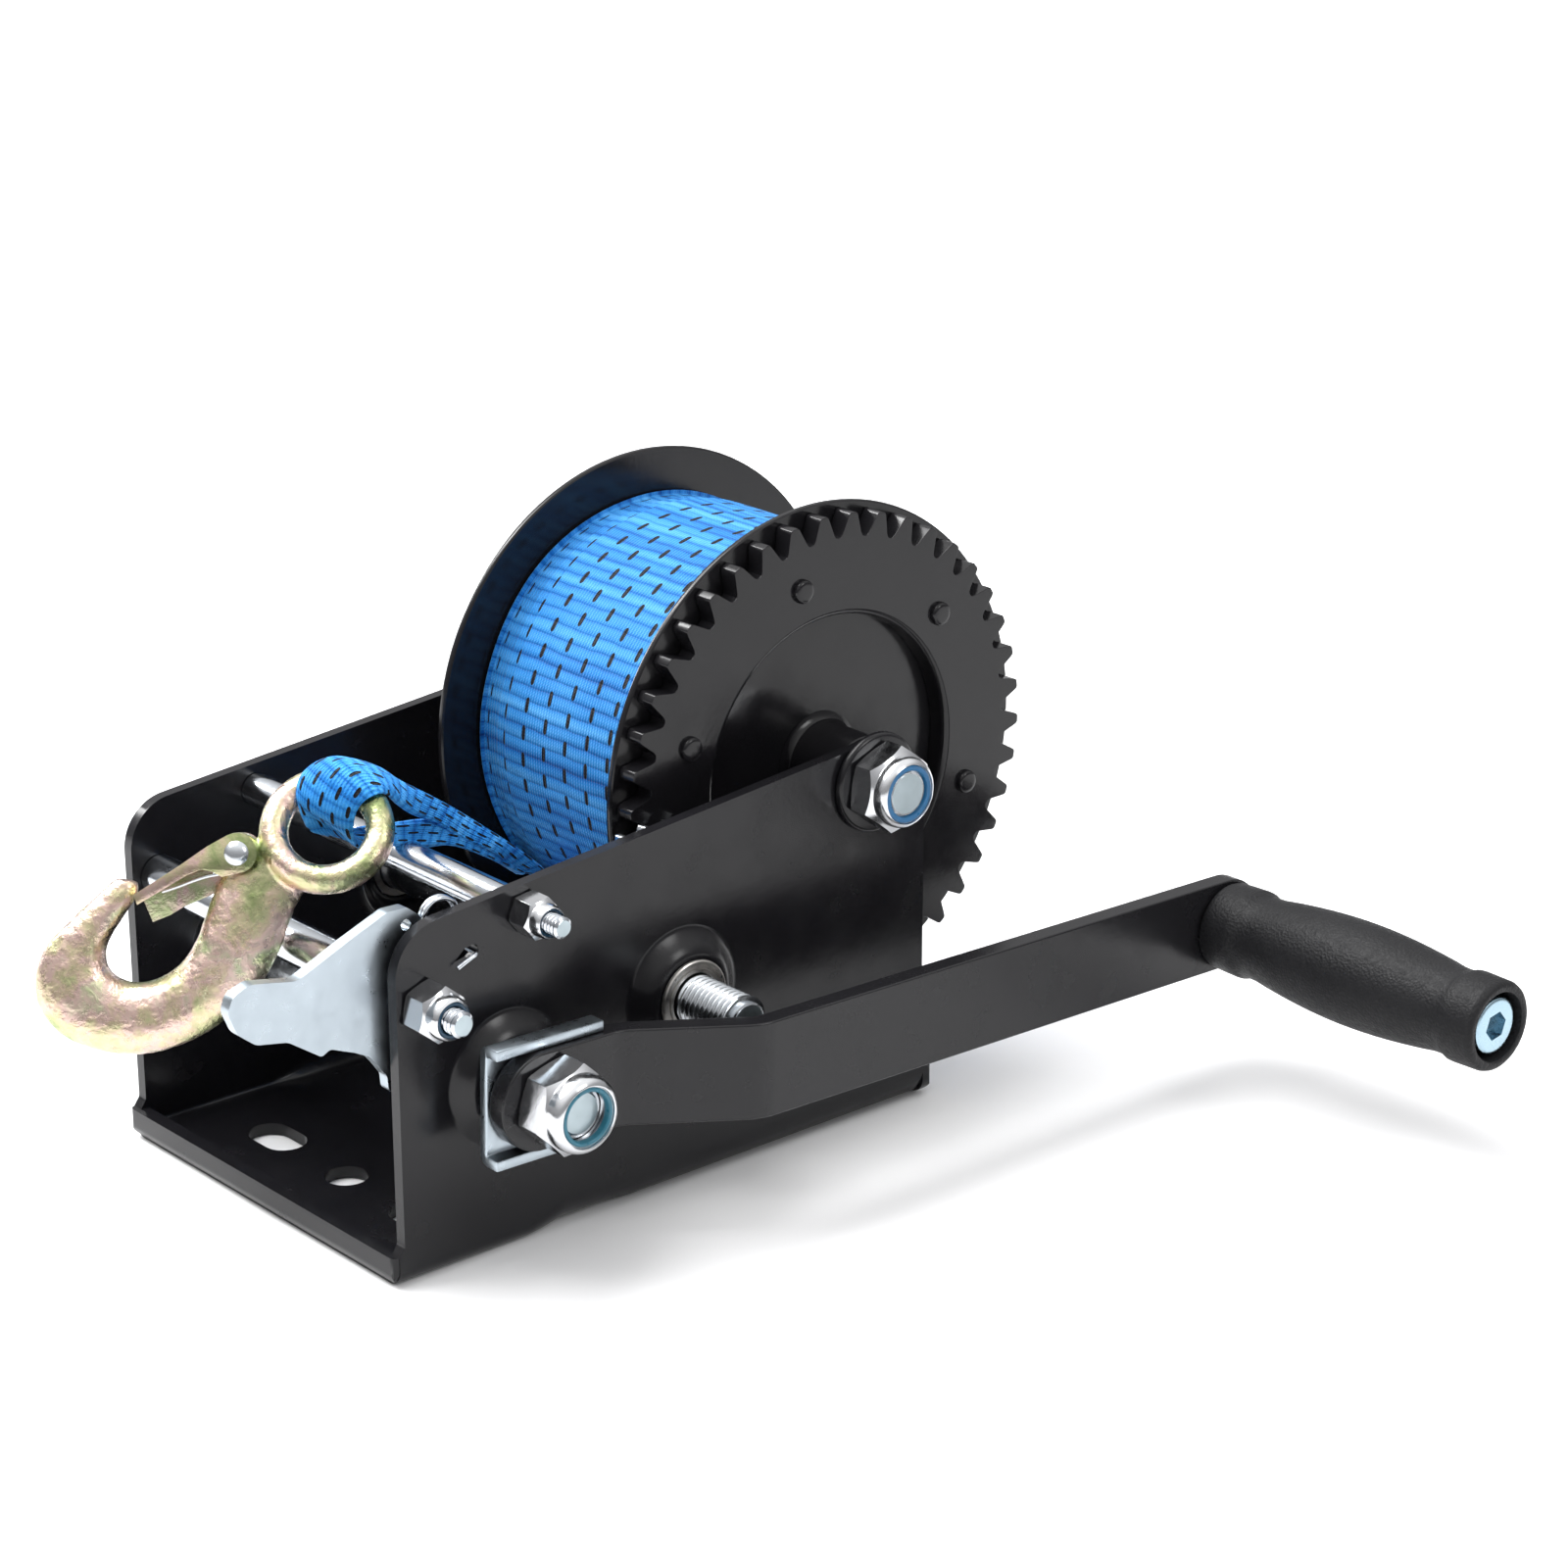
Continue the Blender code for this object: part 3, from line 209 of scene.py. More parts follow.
def spline_pts(pts, n, closed=False):
    """Catmull-Rom through points of any dimension."""
    pts = [Vector(p) for p in pts]
    m = len(pts)
    out = []
    for i in range(m if closed else m - 1):
        if closed:
            p0, p1, p2, p3 = (pts[(i + k) % m] for k in (-1, 0, 1, 2))
        else:
            p0, p1, p2, p3 = pts[max(i - 1, 0)], pts[i], pts[i + 1], pts[min(i + 2, m - 1)]
        for k in range(n):
            t = k / n
            out.append(0.5 * ((2 * p1) + (p2 - p0) * t + (2 * p0 - 5 * p1 + 4 * p2 - p3) * t * t
                              + (3 * p1 - p0 - 3 * p2 + p3) * t ** 3))
    if not closed:
        out.append(pts[-1])
    return out


def tube_mesh(name, points, radius, mat, sides=14, caps=True):
    """Round wire along a path, as a mesh."""
    pts = [Vector(p) for p in points]
    bm = bmesh.new()
    rows = []
    m = len(pts)
    prev = None
    for i, p in enumerate(pts):
        t = (pts[min(i + 1, m - 1)] - pts[max(i - 1, 0)]).normalized()
        if prev is None:
            ref = Vector((0, 0, 1)) if abs(t.z) < 0.9 else Vector((1, 0, 0))
            a = t.cross(ref).normalized()
        else:
            a = (prev - t * prev.dot(t)).normalized()
        prev = a
        b = t.cross(a)
        rows.append([bm.verts.new((p + (a * math.cos(2 * math.pi * k / sides)
                                        + b * math.sin(2 * math.pi * k / sides)) * radius) * MM)
                     for k in range(sides)])
    for r0, r1 in zip(rows, rows[1:]):
        for k in range(sides):
            j = (k + 1) % sides
            bm.faces.new((r0[k], r0[j], r1[j], r1[k]))
    if caps:
        bm.faces.new(list(reversed(rows[0])))
        bm.faces.new(rows[-1])
    return obj_from_bm(name, bm, mat, 50)


def gear_outline(teeth, module, add=0.9, ded=1.2, thick=0.44, steps=3, phase=0.0, pressure=20.0):
    rp = teeth * module / 2
    rb = rp * math.cos(math.radians(pressure))
    rt, rr = rp + add * module, rp - ded * module
    inv = lambda r: math.sqrt(max((r / rb) ** 2 - 1, 0)) - math.acos(min(1.0, rb / r))
    half_p = thick * math.pi / teeth
    pts = []
    r0 = max(rb, rr + 0.02 * module)
    for k in range(teeth):
        c = phase + 2 * math.pi * k / teeth
        flank = []
        for s in range(steps + 1):
            r = r0 + (rt - r0) * s / steps
            flank.append((r, half_p + inv(rp) - inv(r)))
        base_half = flank[0][1]
        left = [(rr, -base_half)] if rb > rr + 0.3 else []
        left += [(r, -h) for r, h in flank]
        right = [(r, h) for r, h in reversed(flank)]
        right += [(rr, base_half)] if rb > rr + 0.3 else []
        for r, a in left + right:
            pts.append((r * math.cos(c + a), r * math.sin(c + a)))
    return pts


def shift(loop, c):
    return [(p[0] + c[0], p[1] + c[1]) for p in loop]


def evaluated(ob):
    """Apply every modifier and return the object with a plain mesh."""
    dg = bpy.context.evaluated_depsgraph_get()
    dg.update()
    me = bpy.data.meshes.new_from_object(ob.evaluated_get(dg))
    ob.modifiers.clear()
    ob.data = me
    return ob


def drop(ob):
    bpy.data.objects.remove(ob, do_unlink=True)


def boolean(ob, cutter, op="DIFFERENCE"):
    mod = ob.modifiers.new("b", "BOOLEAN")
    mod.operation = op
    mod.solver = "EXACT"
    mod.object = cutter
    evaluated(ob)
    drop(cutter)
    return ob


# ============================================================== materials
def new_mat(name):
    mat = bpy.data.materials.new(name)
    mat.use_nodes = True
    nt = mat.node_tree
    return mat, nt, nt.nodes["Principled BSDF"]


def node(nt, kind, **kw):
    n = nt.nodes.new("ShaderNode" + kind)
    for k, v in kw.items():
        if k.startswith("in_"):
            key = k[3:]
            n.inputs[int(key) if key.isdigit() else key.replace("_", " ")].default_value = v
        else:
            setattr(n, k, v)
    return n


def coords(nt, scale=1.0):
    tc = node(nt, "TexCoord")
    mp = node(nt, "Mapping")
    mp.inputs["Scale"].default_value = (scale, scale, scale)
    nt.links.new(tc.outputs["Object"], mp.inputs["Vector"])
    return mp.outputs["Vector"]


def noise(nt, vec, scale, detail=4.0, rough=0.55):
    n = node(nt, "TexNoise")
    n.inputs["Scale"].default_value = scale
    n.inputs["Detail"].default_value = detail
    n.inputs["Roughness"].default_value = rough
    nt.links.new(vec, n.inputs["Vector"])
    return n.outputs["Fac"]


def ramp(nt, fac, stops):
    r = node(nt, "ValToRGB")
    el = r.color_ramp.elements
    while len(el) > 1:
        el.remove(el[0])
    el[0].position = stops[0][0]
    el[0].color = (*stops[0][1], 1) if len(stops[0][1]) == 3 else stops[0][1]
    for p, c in stops[1:]:
        e = el.new(p)
        e.color = (*c, 1)
    nt.links.new(fac, r.inputs["Fac"])
    return r.outputs["Color"]


def remap(nt, fac, lo, hi, a=0.0, b=1.0):
    m = node(nt, "MapRange")
    m.inputs["From Min"].default_value = a
    m.inputs["From Max"].default_value = b
    m.inputs["To Min"].default_value = lo
    m.inputs["To Max"].default_value = hi
    nt.links.new(fac, m.inputs["Value"])
    return m.outputs["Result"]


def math_node(nt, op, a, b=None, clamp=False):
    m = node(nt, "Math", operation=op)
    m.use_clamp = clamp
    for i, v in enumerate((a, b)):
        if v is None:
            continue
        if isinstance(v, (int, float)):
            m.inputs[i].default_value = v
        else:
            nt.links.new(v, m.inputs[i])
    return m.outputs[0]


def bump(nt, height, strength, dist, normal=None):
    b = node(nt, "Bump")
    b.inputs["Strength"].default_value = strength
    b.inputs["Distance"].default_value = dist
    nt.links.new(height, b.inputs["Height"])
    if normal is not None:
        nt.links.new(normal, b.inputs["Normal"])
    return b.outputs["Normal"]


def black_paint(name="black_paint_fine", rough=0.22, tint=(0.0062, 0.0060, 0.0072)):
    mat, nt, bs = new_mat(name)
    v = coords(nt)
    big = noise(nt, v, 28.0, 3.0)
    fine = noise(nt, v, 620.0, 3.0)
    speck = noise(nt, v, 2600.0, 2.0)
    col = ramp(nt, big, [(0.3, tint), (0.75, tuple(c * 1.35 for c in tint))])
    nt.links.new(col, bs.inputs["Base Color"])
    r = remap(nt, noise(nt, v, 90.0, 5.0), rough - 0.05, rough + 0.07, 0.3, 0.7)
    nt.links.new(r, bs.inputs["Roughness"])
    nb = bump(nt, fine, 0.10, 0.0002)
    nt.links.new(bump(nt, speck, 0.05, 0.00006, nb), bs.inputs["Normal"])
    bs.inputs["IOR"].default_value = 1.5
    bs.inputs["Specular IOR Level"].default_value = 0.30
    return mat


def zinc(name="zinc_bright", rough=0.2, tint=(0.60, 0.63, 0.66), blotch=0.1):
    mat, nt, bs = new_mat(name)
    v = coords(nt)
    big = noise(nt, v, 45.0, 4.0, 0.6)
    col = ramp(nt, big, [(0.3, tuple(c * (1 - blotch) for c in tint)), (0.6, tint), (0.8, tuple(min(1.0, c * 1.1) for c in tint))])
    nt.links.new(col, bs.inputs["Base Color"])
    bs.inputs["Metallic"].default_value = 1.0
    r = remap(nt, noise(nt, v, 240.0, 6.0, 0.65), rough - 0.06, rough + 0.12, 0.3, 0.75)
    nt.links.new(r, bs.inputs["Roughness"])
    f = noise(nt, v, 1100.0, 4.0, 0.6)
    nt.links.new(bump(nt, f, 0.12, 0.00012), bs.inputs["Normal"])
    return mat


def chromate(name="yellow_chromate", forged=True):
    mat, nt, bs = new_mat(name)
    v = coords(nt)
    warp = node(nt, "TexNoise")
    warp.inputs["Scale"].default_value = 95.0
    warp.inputs["Detail"].default_value = 3.0
    nt.links.new(v, warp.inputs["Vector"])
    off = node(nt, "VectorMath", operation="SCALE")
    off.inputs["Scale"].default_value = 0.006
    nt.links.new(warp.outputs["Color"], off.inputs[0])
    add = node(nt, "VectorMath", operation="ADD")
    nt.links.new(v, add.inputs[0])
    nt.links.new(off.outputs["Vector"], add.inputs[1])
    w = add.outputs["Vector"]
    a = noise(nt, w, 48.0, 3.0, 0.5)
    b = noise(nt, w, 210.0, 4.0, 0.6)
    mix = math_node(nt, "ADD", math_node(nt, "MULTIPLY", a, 0.66), math_node(nt, "MULTIPLY", b, 0.34))
    col = ramp(nt, mix, [(0.34, (0.30, 0.36, 0.16)), (0.41, (0.50, 0.49, 0.28)), (0.46, (0.60, 0.49, 0.34)),
                         (0.505, (0.64, 0.46, 0.41)), (0.54, (0.60, 0.48, 0.39)), (0.575, (0.52, 0.50, 0.34)),
                         (0.62, (0.41, 0.47, 0.25)), (0.70, (0.57, 0.42, 0.39))])
    # grime and pits left by the forging scale
    pit = noise(nt, w, 520.0, 6.0, 0.7)
    dark = remap(nt, pit, 1.0, 0.55, 0.56, 0.70)
    mixc = node(nt, "Mix", data_type="RGBA", blend_type="MULTIPLY")
    mixc.inputs["Factor"].default_value = 0.6 if forged else 0.25
    nt.links.new(col, mixc.inputs["A"])
    nt.links.new(dark, mixc.inputs["B"])
    nt.links.new(mixc.outputs["Result"], bs.inputs["Base Color"])
    bs.inputs["Metallic"].default_value = 1.0
    r = remap(nt, noise(nt, v, 330.0, 5.0, 0.6), 0.20 if forged else 0.12, 0.36 if forged else 0.26, 0.3, 0.7)
    nt.links.new(r, bs.inputs["Roughness"])
    l1 = noise(nt, w, 260.0, 4.0)
    l2 = noise(nt, v, 1300.0, 4.0, 0.6)
    nb = bump(nt, l1, 0.42 if forged else 0.1, 0.0008)
    nb = bump(nt, pit, 0.35 if forged else 0.05, 0.0004, nb)
    nt.links.new(bump(nt, l2, 0.35, 0.00014, nb), bs.inputs["Normal"])
    return mat


def moulded_black(name="grip_black"):
    mat, nt, bs = new_mat(name)
    v = coords(nt)
    col = ramp(nt, noise(nt, v, 60.0, 3.0), [(0.3, (0.0062, 0.0062, 0.0072)), (0.7, (0.0098, 0.0098, 0.011))])
    nt.links.new(col, bs.inputs["Base Color"])
    r = remap(nt, noise(nt, v, 700.0, 4.0), 0.44, 0.62, 0.3, 0.7)
    nt.links.new(r, bs.inputs["Roughness"])
    vo = node(nt, "TexVoronoi")
    vo.inputs["Scale"].default_value = 1500.0
    nt.links.new(v, vo.inputs["Vector"])
    nb = bump(nt, vo.outputs["Distance"], 0.45, 0.00025)
    nt.links.new(bump(nt, noise(nt, v, 900.0, 3.0), 0.3, 0.0002, nb), bs.inputs["Normal"])
    bs.inputs["Specular IOR Level"].default_value = 0.22
    return mat


def nylon(name, rgb):
    mat, nt, bs = new_mat(name)
    v = coords(nt)
    col = ramp(nt, noise(nt, v, 400.0, 3.0), [(0.3, tuple(c * 0.8 for c in rgb)), (0.7, rgb)])
    nt.links.new(col, bs.inputs["Base Color"])
    nt.links.new(remap(nt, noise(nt, v, 900.0, 3.0), 0.26, 0.4, 0.3, 0.7), bs.inputs["Roughness"])
    nt.links.new(bump(nt, noise(nt, v, 500.0, 3.0), 0.15, 0.0001), bs.inputs["Normal"])
    return mat


def sintered(name="bearing_steel"):
    mat, nt, bs = new_mat(name)
    v = coords(nt)
    col = ramp(nt, noise(nt, v, 300.0, 4.0), [(0.3, (0.30, 0.29, 0.28)), (0.7, (0.52, 0.50, 0.47))])
    nt.links.new(col, bs.inputs["Base Color"])
    bs.inputs["Metallic"].default_value = 1.0
    nt.links.new(remap(nt, noise(nt, v, 800.0, 4.0), 0.26, 0.42, 0.3, 0.7), bs.inputs["Roughness"])
    nt.links.new(bump(nt, noise(nt, v, 1500.0, 3.0), 0.2, 0.0001), bs.inputs["Normal"])
    return mat


def webbing(name, half=30.0, gap=7.9, pitch=6.8, dash=3.5, thick=1.35, rib=3.3, shift=0.0, soft=1.0, painted_light_lift=1.0):
    """Woven strap.  UV 'strap' is in millimetres: U across, V along.  Dark
    dashes run along the strap in staggered columns; ribs run across it."""
    mat, nt, bs = new_mat(name)
    uv = node(nt, "UVMap")
    uv.uv_map = "strap"
    sp = node(nt, "SeparateXYZ")
    nt.links.new(uv.outputs["UV"], sp.inputs[0])
    u, v = sp.outputs["X"], sp.outputs["Y"]
    obj = coords(nt)
    # the weave never runs quite straight
    wav = noise(nt, obj, 75.0, 2.0)
    vw = math_node(nt, "ADD", v, math_node(nt, "MULTIPLY", math_node(nt, "SUBTRACT", wav, 0.5), 1.6))
    q = math_node(nt, "DIVIDE", math_node(nt, "SUBTRACT", u, shift), gap)
    cell = math_node(nt, "FLOOR", math_node(nt, "ADD", q, 0.5))
    du = math_node(nt, "ABSOLUTE", math_node(nt, "MULTIPLY", math_node(nt, "SUBTRACT", q, cell), gap))
    odd = math_node(nt, "ABSOLUTE", math_node(nt, "MODULO", cell, 2.0))
    vv = math_node(nt, "ADD", math_node(nt, "DIVIDE", v, pitch), math_node(nt, "MULTIPLY", odd, 0.5))
    fr = math_node(nt, "FRACT", vv)
    dv = math_node(nt, "MULTIPLY", math_node(nt, "ABSOLUTE", math_node(nt, "SUBTRACT", fr, 0.5)), pitch)
    taper = math_node(nt, "SUBTRACT", 1.0, math_node(nt, "POWER", math_node(nt, "DIVIDE", dv, dash / 2 + 0.2), 6.0))
    hw = math_node(nt, "MULTIPLY", taper, thick / 2)
    d1 = math_node(nt, "LESS_THAN", du, hw)
    d2 = math_node(nt, "LESS_THAN", dv, dash / 2 + 0.15)
    inside = math_node(nt, "LESS_THAN", math_node(nt, "ABSOLUTE", u), half - 1.6)
    dashes = math_node(nt, "MULTIPLY", math_node(nt, "MULTIPLY", d1, d2), inside)
    rv = math_node(nt, "FRACT", math_node(nt, "DIVIDE", vw, rib))
    ribh = math_node(nt, "POWER", math_node(nt, "SINE", math_node(nt, "MULTIPLY", rv, math.pi)), 0.6)
    th = math_node(nt, "SINE", math_node(nt, "MULTIPLY", u, 2 * math.pi / 0.95))
    wf = math_node(nt, "SINE", math_node(nt, "MULTIPLY", vw, 2 * math.pi / 0.82))
    thread = math_node(nt, "ADD", math_node(nt, "MULTIPLY", th, 0.65), math_node(nt, "MULTIPLY", math_node(nt, "MULTIPLY", th, wf), 0.35))
    blot = noise(nt, obj, 60.0, 3.0)
    fuzz = noise(nt, obj, 2400.0, 3.0)
    # whole bands of the weave sit a little deeper than others
    band = node(nt, "TexNoise", noise_dimensions="1D")
    band.inputs["Scale"].default_value = 0.16
    band.inputs["Detail"].default_value = 2.0
    nt.links.new(v, band.inputs["W"])
    # the rib and thread heights also lighten the crests and darken the grooves in the colour: painted shade; the band,
    # blot and fuzz terms are random tone
    shade = math_node(nt, "ADD", math_node(nt, "MULTIPLY", ribh, 0.24),
                      math_node(nt, "ADD", math_node(nt, "MULTIPLY", band.outputs["Fac"], 0.42),
                                math_node(nt, "ADD", math_node(nt, "MULTIPLY", blot, 0.16),
                                          math_node(nt, "ADD", math_node(nt, "MULTIPLY", fuzz, 0.20),
                                                    math_node(nt, "MULTIPLY", thread, 0.07)))))
    # the lift factor scales the whole colour ramp up: a lighter copy of the same webbing, painted light
    base = ramp(nt, shade, [(0.22, (0.0008 * painted_light_lift, 0.040 * painted_light_lift, 0.20 * painted_light_lift)), (0.42, (0.0030 * painted_light_lift, 0.108 * painted_light_lift, 0.38 * painted_light_lift)),
                            (0.60, (0.0250 * painted_light_lift, 0.215 * painted_light_lift, 0.56 * painted_light_lift)), (0.80, (0.085 * painted_light_lift, 0.35 * painted_light_lift, 0.72 * painted_light_lift))])
    mix = node(nt, "Mix", data_type="RGBA")
    nt.links.new(dashes, mix.inputs["Factor"])
    nt.links.new(base, mix.inputs["A"])
    mix.inputs["B"].default_value = (0.0012, 0.0016, 0.004, 1)
    nt.links.new(mix.outputs["Result"], bs.inputs["Base Color"])
    nt.links.new(remap(nt, fuzz, 0.46, 0.66, 0.3, 0.7), bs.inputs["Roughness"])
    bs.inputs["Sheen Weight"].default_value = 0.05
    bs.inputs["Sheen Roughness"].default_value = 0.4
    bs.inputs["Specular IOR Level"].default_value = 0.20
    h = math_node(nt, "ADD", math_node(nt, "MULTIPLY", ribh, 0.55), math_node(nt, "MULTIPLY", thread, 0.24))
    h = math_node(nt, "SUBTRACT", h, math_node(nt, "MULTIPLY", dashes, 0.8))
    nt.links.new(bump(nt, h, 0.9 * soft, 0.0006), bs.inputs["Normal"])
    return mat


BLACK = black_paint()
BLACK_ARM = black_paint("black_paint_arm", 0.24, (0.0085, 0.0083, 0.0095))
BLACK_DRUM = black_paint("black_paint_drum", 0.17, (0.0062, 0.0060, 0.0070))
ZINC = zinc()
ZINC_NUT = zinc("zinc_nut", 0.15, (0.66, 0.67, 0.69), 0.06)
ZINC_ROD = zinc("zinc_rod", 0.13, (0.55, 0.58, 0.62), 0.05)
ZINC_SHEET = zinc("zinc_sheet", 0.30, (0.375, 0.425, 0.465), 0.06)
FROST = zinc("zinc_end", 0.40, (0.42, 0.49, 0.52), 0.3)
CHROMATE = chromate()
CHROMATE_SHEET = chromate("yellow_chromate_sheet", False)
GRIP = moulded_black()
RING_BLUE = nylon("nylon_blue", (0.008, 0.115, 0.27))
ZINC_BLUE = zinc("zinc_blue", 0.24, (0.34, 0.47, 0.55), 0.1)
RING_TEAL = nylon("nylon_teal", (0.015, 0.13, 0.19))
RING_DARK = nylon("nylon_dark", (0.006, 0.045, 0.09))
BEARING = sintered()
WEB = webbing("webbing_blue", 30.0, shift=3.0)
# the tail's webbing is the roll's webbing made 1.35 times lighter: painted light
WEB_TAIL = webbing("webbing_blue_tail", 60.0, 3.7, 6.2, 3.0, 0.95, 2.9, painted_light_lift=1.35)


def even_faces(ob):
    """Big flat faces hold their own normal; only the rounded edges blend."""
    wn = ob.modifiers.new("wn", "WEIGHTED_NORMAL")
    wn.mode = "FACE_AREA_WITH_ANGLE"
    wn.weight = 100
    wn.keep_sharp = True
    return evaluated(ob)


def done(ob, body, *nodes, slot=None):
    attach(ob, body)
    if nodes:
        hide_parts(*nodes)
    return ob


# ================================================================== frame
def top_z(y):
    return TOP_Z0 + TOP_SLOPE * (y - PLATE_Y0)


def build_frame():
    def bend(outer_r, soft):
        n = 8
        if soft:
            outer = [(54.0, 9.0)] + [tuple(q) for q in spline_pts(
                [(54.0, 7.4), (53.55, 4.4), (52.3, 1.9), (50.6, 0.55), (48.0, 0.0)], 2)]
            outer = outer[:n + 1]
            outer[-1] = (48.0, 0.0)
        else:
            c = HALF_W - outer_r
            outer = [(c + outer_r * math.cos(math.radians(90 * k / n)),
                      outer_r - outer_r * math.sin(math.radians(90 * k / n))) for k in range(n + 1)]
        ri, c = outer_r - SHEET, HALF_W - outer_r
        inner = [(c + ri * math.cos(math.radians(90 - 90 * k / n)),
                  outer_r - ri * math.sin(math.radians(90 - 90 * k / n))) for k in range(n + 1)]
        return outer, inner

    stations = [(-79.5, 4.0, False), (-43.0, 4.0, False), (-38.0, 5.2, False), (-33.0, 7.5, False),
                (-24.0, 7.5, False), (-20.0, 7.5, False), (-12.0, 7.5, True), (79.2, 7.5, True)]
    bm = bmesh.new()
    rows = []
    for y, r, soft in stations:
        outer, inner = bend(r, soft)
        right = [(HALF_W, 110.0)] + outer
        right_in = inner + [(HALF_W - SHEET, 110.0)]
        loop = right + [(-x, z) for x, z in reversed(right)]
        loop += [(-x, z) for x, z in reversed(right_in)] + right_in
        rows.append([bm.verts.new((x * MM, y * MM, z * MM)) for x, z in loop])
    n = len(rows[0])
    for a, b in zip(rows, rows[1:]):
        for i in range(n):
            j = (i + 1) % n
            bm.faces.new((a[i], a[j], b[j], b[i]))
    for r in (rows[0], rows[-1]):
        bmesh.ops.triangle_fill(bm, use_beauty=True, use_dissolve=False,
                                edges=[bm.edges.get((r[i], r[(i + 1) % n])) for i in range(n)])
    shell = obj_from_bm("frame_shell", bm, BLACK, 0)
    side = round_poly([(-79.5, -1.0), (79.2, -1.0), (79.2, LIP_H), (PLATE_Y1, LIP_H + 2.0),
                       (PLATE_Y1, top_z(PLATE_Y1)), (PLATE_Y0, top_z(PLATE_Y0)),
                       (PLATE_Y0, LIP_H + 2.0), (-79.5, LIP_H)],
                      [0, 0, 0.8, 2.0, 15.0, 12.0, 2.0, 0.8], 16)
    boolean(shell, obj_from_bm("c", prism_bm([side], -60, 60), None, 0), "INTERSECT")
    for s, out, inn in ((-1, BASE_Y0, PLATE_Y0 + 0.6), (1, BASE_Y1, PLATE_Y1 + 0.9)):
        hw = HALF_W - 0.15
        plan = round_poly([(-hw, inn), (hw, inn), (hw, out), (-hw, out)], [0, 0, 4.0, 4.0], 8)
        lip = obj_from_bm("c", prism_bm([plan], 0.06, LIP_H, "Z"), None, 0)
        trim = [(out + s * 3, -1.0), (out - s * 3.2, -1.0), (out - s * 3.2, 0.06)]
        trim += [(out - s * 3.2 + s * 3.2 * math.sin(math.radians(a)), 3.26 - 3.2 * math.cos(math.radians(a)))
                 for a in (15, 30, 45, 60, 75, 90)]
        trim += [(out + s * 3, 3.3)]
        boolean(lip, obj_from_bm("c2", prism_bm([trim], -60, 60), None, 0))
        for sx in (-1, 1):
            t2 = [(sx * (hw + 4), -1.0), (sx * (hw - 4.2), -1.0), (sx * (hw - 4.2), 0.06)]
            t2 += [(sx * (hw - 4.2 + 4.2 * math.sin(math.radians(a))), 4.26 - 4.2 * math.cos(math.radians(a)))
                   for a in (15, 30, 45, 60, 75, 90)]
            t2 += [(sx * (hw + 4), 4.3)]
            boolean(lip, obj_from_bm("c2", prism_bm([t2], -90, 90, "Y"), None, 0))
        boolean(shell, lip, "UNION")
    for tag, (y, z), r in (("drum", DRUM, 6.3), ("tie_up", TIE_UP, 2.9), ("tie_low", TIE_LOW, 3.4)):
        boolean(shell, obj_from_bm("c", prism_bm([circle(r, 40, (y, z))], -60, 60), None, 0))
    key = round_poly([(-56.2, 76.2), (-55.5, 73.4), (-57.4, 72.1), (-62.9, 70.9), (-63.2, 72.3),
                      (-59.6, 75.4)], [1.4, 1.5, 0.8, 0.3, 0.3, 1.2], 5)
    boolean(shell, obj_from_bm("c", prism_bm([key], 45, 60), None, 0))
    for loop in (slot_loop((-24.5, -58.7), 17.0, 10.5), circle(5.2, 40, (4.0, -58.7)),
                 slot_loop((32.5, -58.7), 17.0, 10.5), slot_loop((4.0, 52.0), 17.0, 10.5, turn=math.pi / 2)):
        boolean(shell, obj_from_bm("c", prism_bm([loop], -5, 20, "Z"), None, 0))
    # round holes that the bosses fill
    for sx in (1, -1):
        for y, z in (CRANK, COUNTER):
            x0, x1 = sorted((sx * 48, sx * 60))
            boolean(shell, obj_from_bm("c", prism_bm([circle(16.4, 64, (y, z))], x0, x1), None, 0))
    # round off the sheared edges of the sheet
    bm = bmesh.new()
    bm.from_mesh(shell.data)
    bmesh.ops.remove_doubles(bm, verts=bm.verts, dist=1e-6)
    bmesh.ops.dissolve_limit(bm, angle_limit=math.radians(1.0), verts=bm.verts, edges=bm.edges)
    def keep(e):
        for v in e.verts:
            y, z = v.co.y / MM, v.co.z / MM
            for cy, cz in (CRANK, COUNTER):
                if abs(v.co.x) > 0.050 and abs(math.hypot(y - cy, z - cz) - 16.4) < 0.3:
                    return False
        return e.calc_length() > 0.0002
    bevel_sharp(bm, 0.45, 2, 55.0, keep)
    # pressed bosses: one turned sheet each, its rim welded into the plate
    for sx in (1, -1):
        for y, z in (CRANK, COUNTER):
            o, i = sx * HALF_W, sx * (HALF_W - SHEET)
            prof = [(i, 16.4), (o, 16.4), (o + sx * 0.05, 15.9), (o + sx * 0.35, 15.2), (o + sx * 0.95, 14.4),
                    (o + sx * 1.7, 13.5), (o + sx * 2.5, 12.7), (o + sx * 3.15, 12.0), (o + sx * 3.65, 11.2),
                    (o + sx * 3.9, 10.5), (o + sx * 4.0, 9.8), (o + sx * 4.0, 8.5), (i + sx * 4.0, 8.5),
                    (i + sx * 4.0, 9.8), (i + sx * 3.0, 11.4), (i + sx * 0.6, 13.4), (i, 14.6)]
            lathe_into(bm, prof, 64, (y, z), True)
    me = shell.data
    bm.to_mesh(me)
    bm.free()
    me.shade_smooth()
    me.set_sharp_from_angle(angle=math.radians(38))
    done(even_faces(shell), "frame", "frame", slot="black_paint")
    return shell


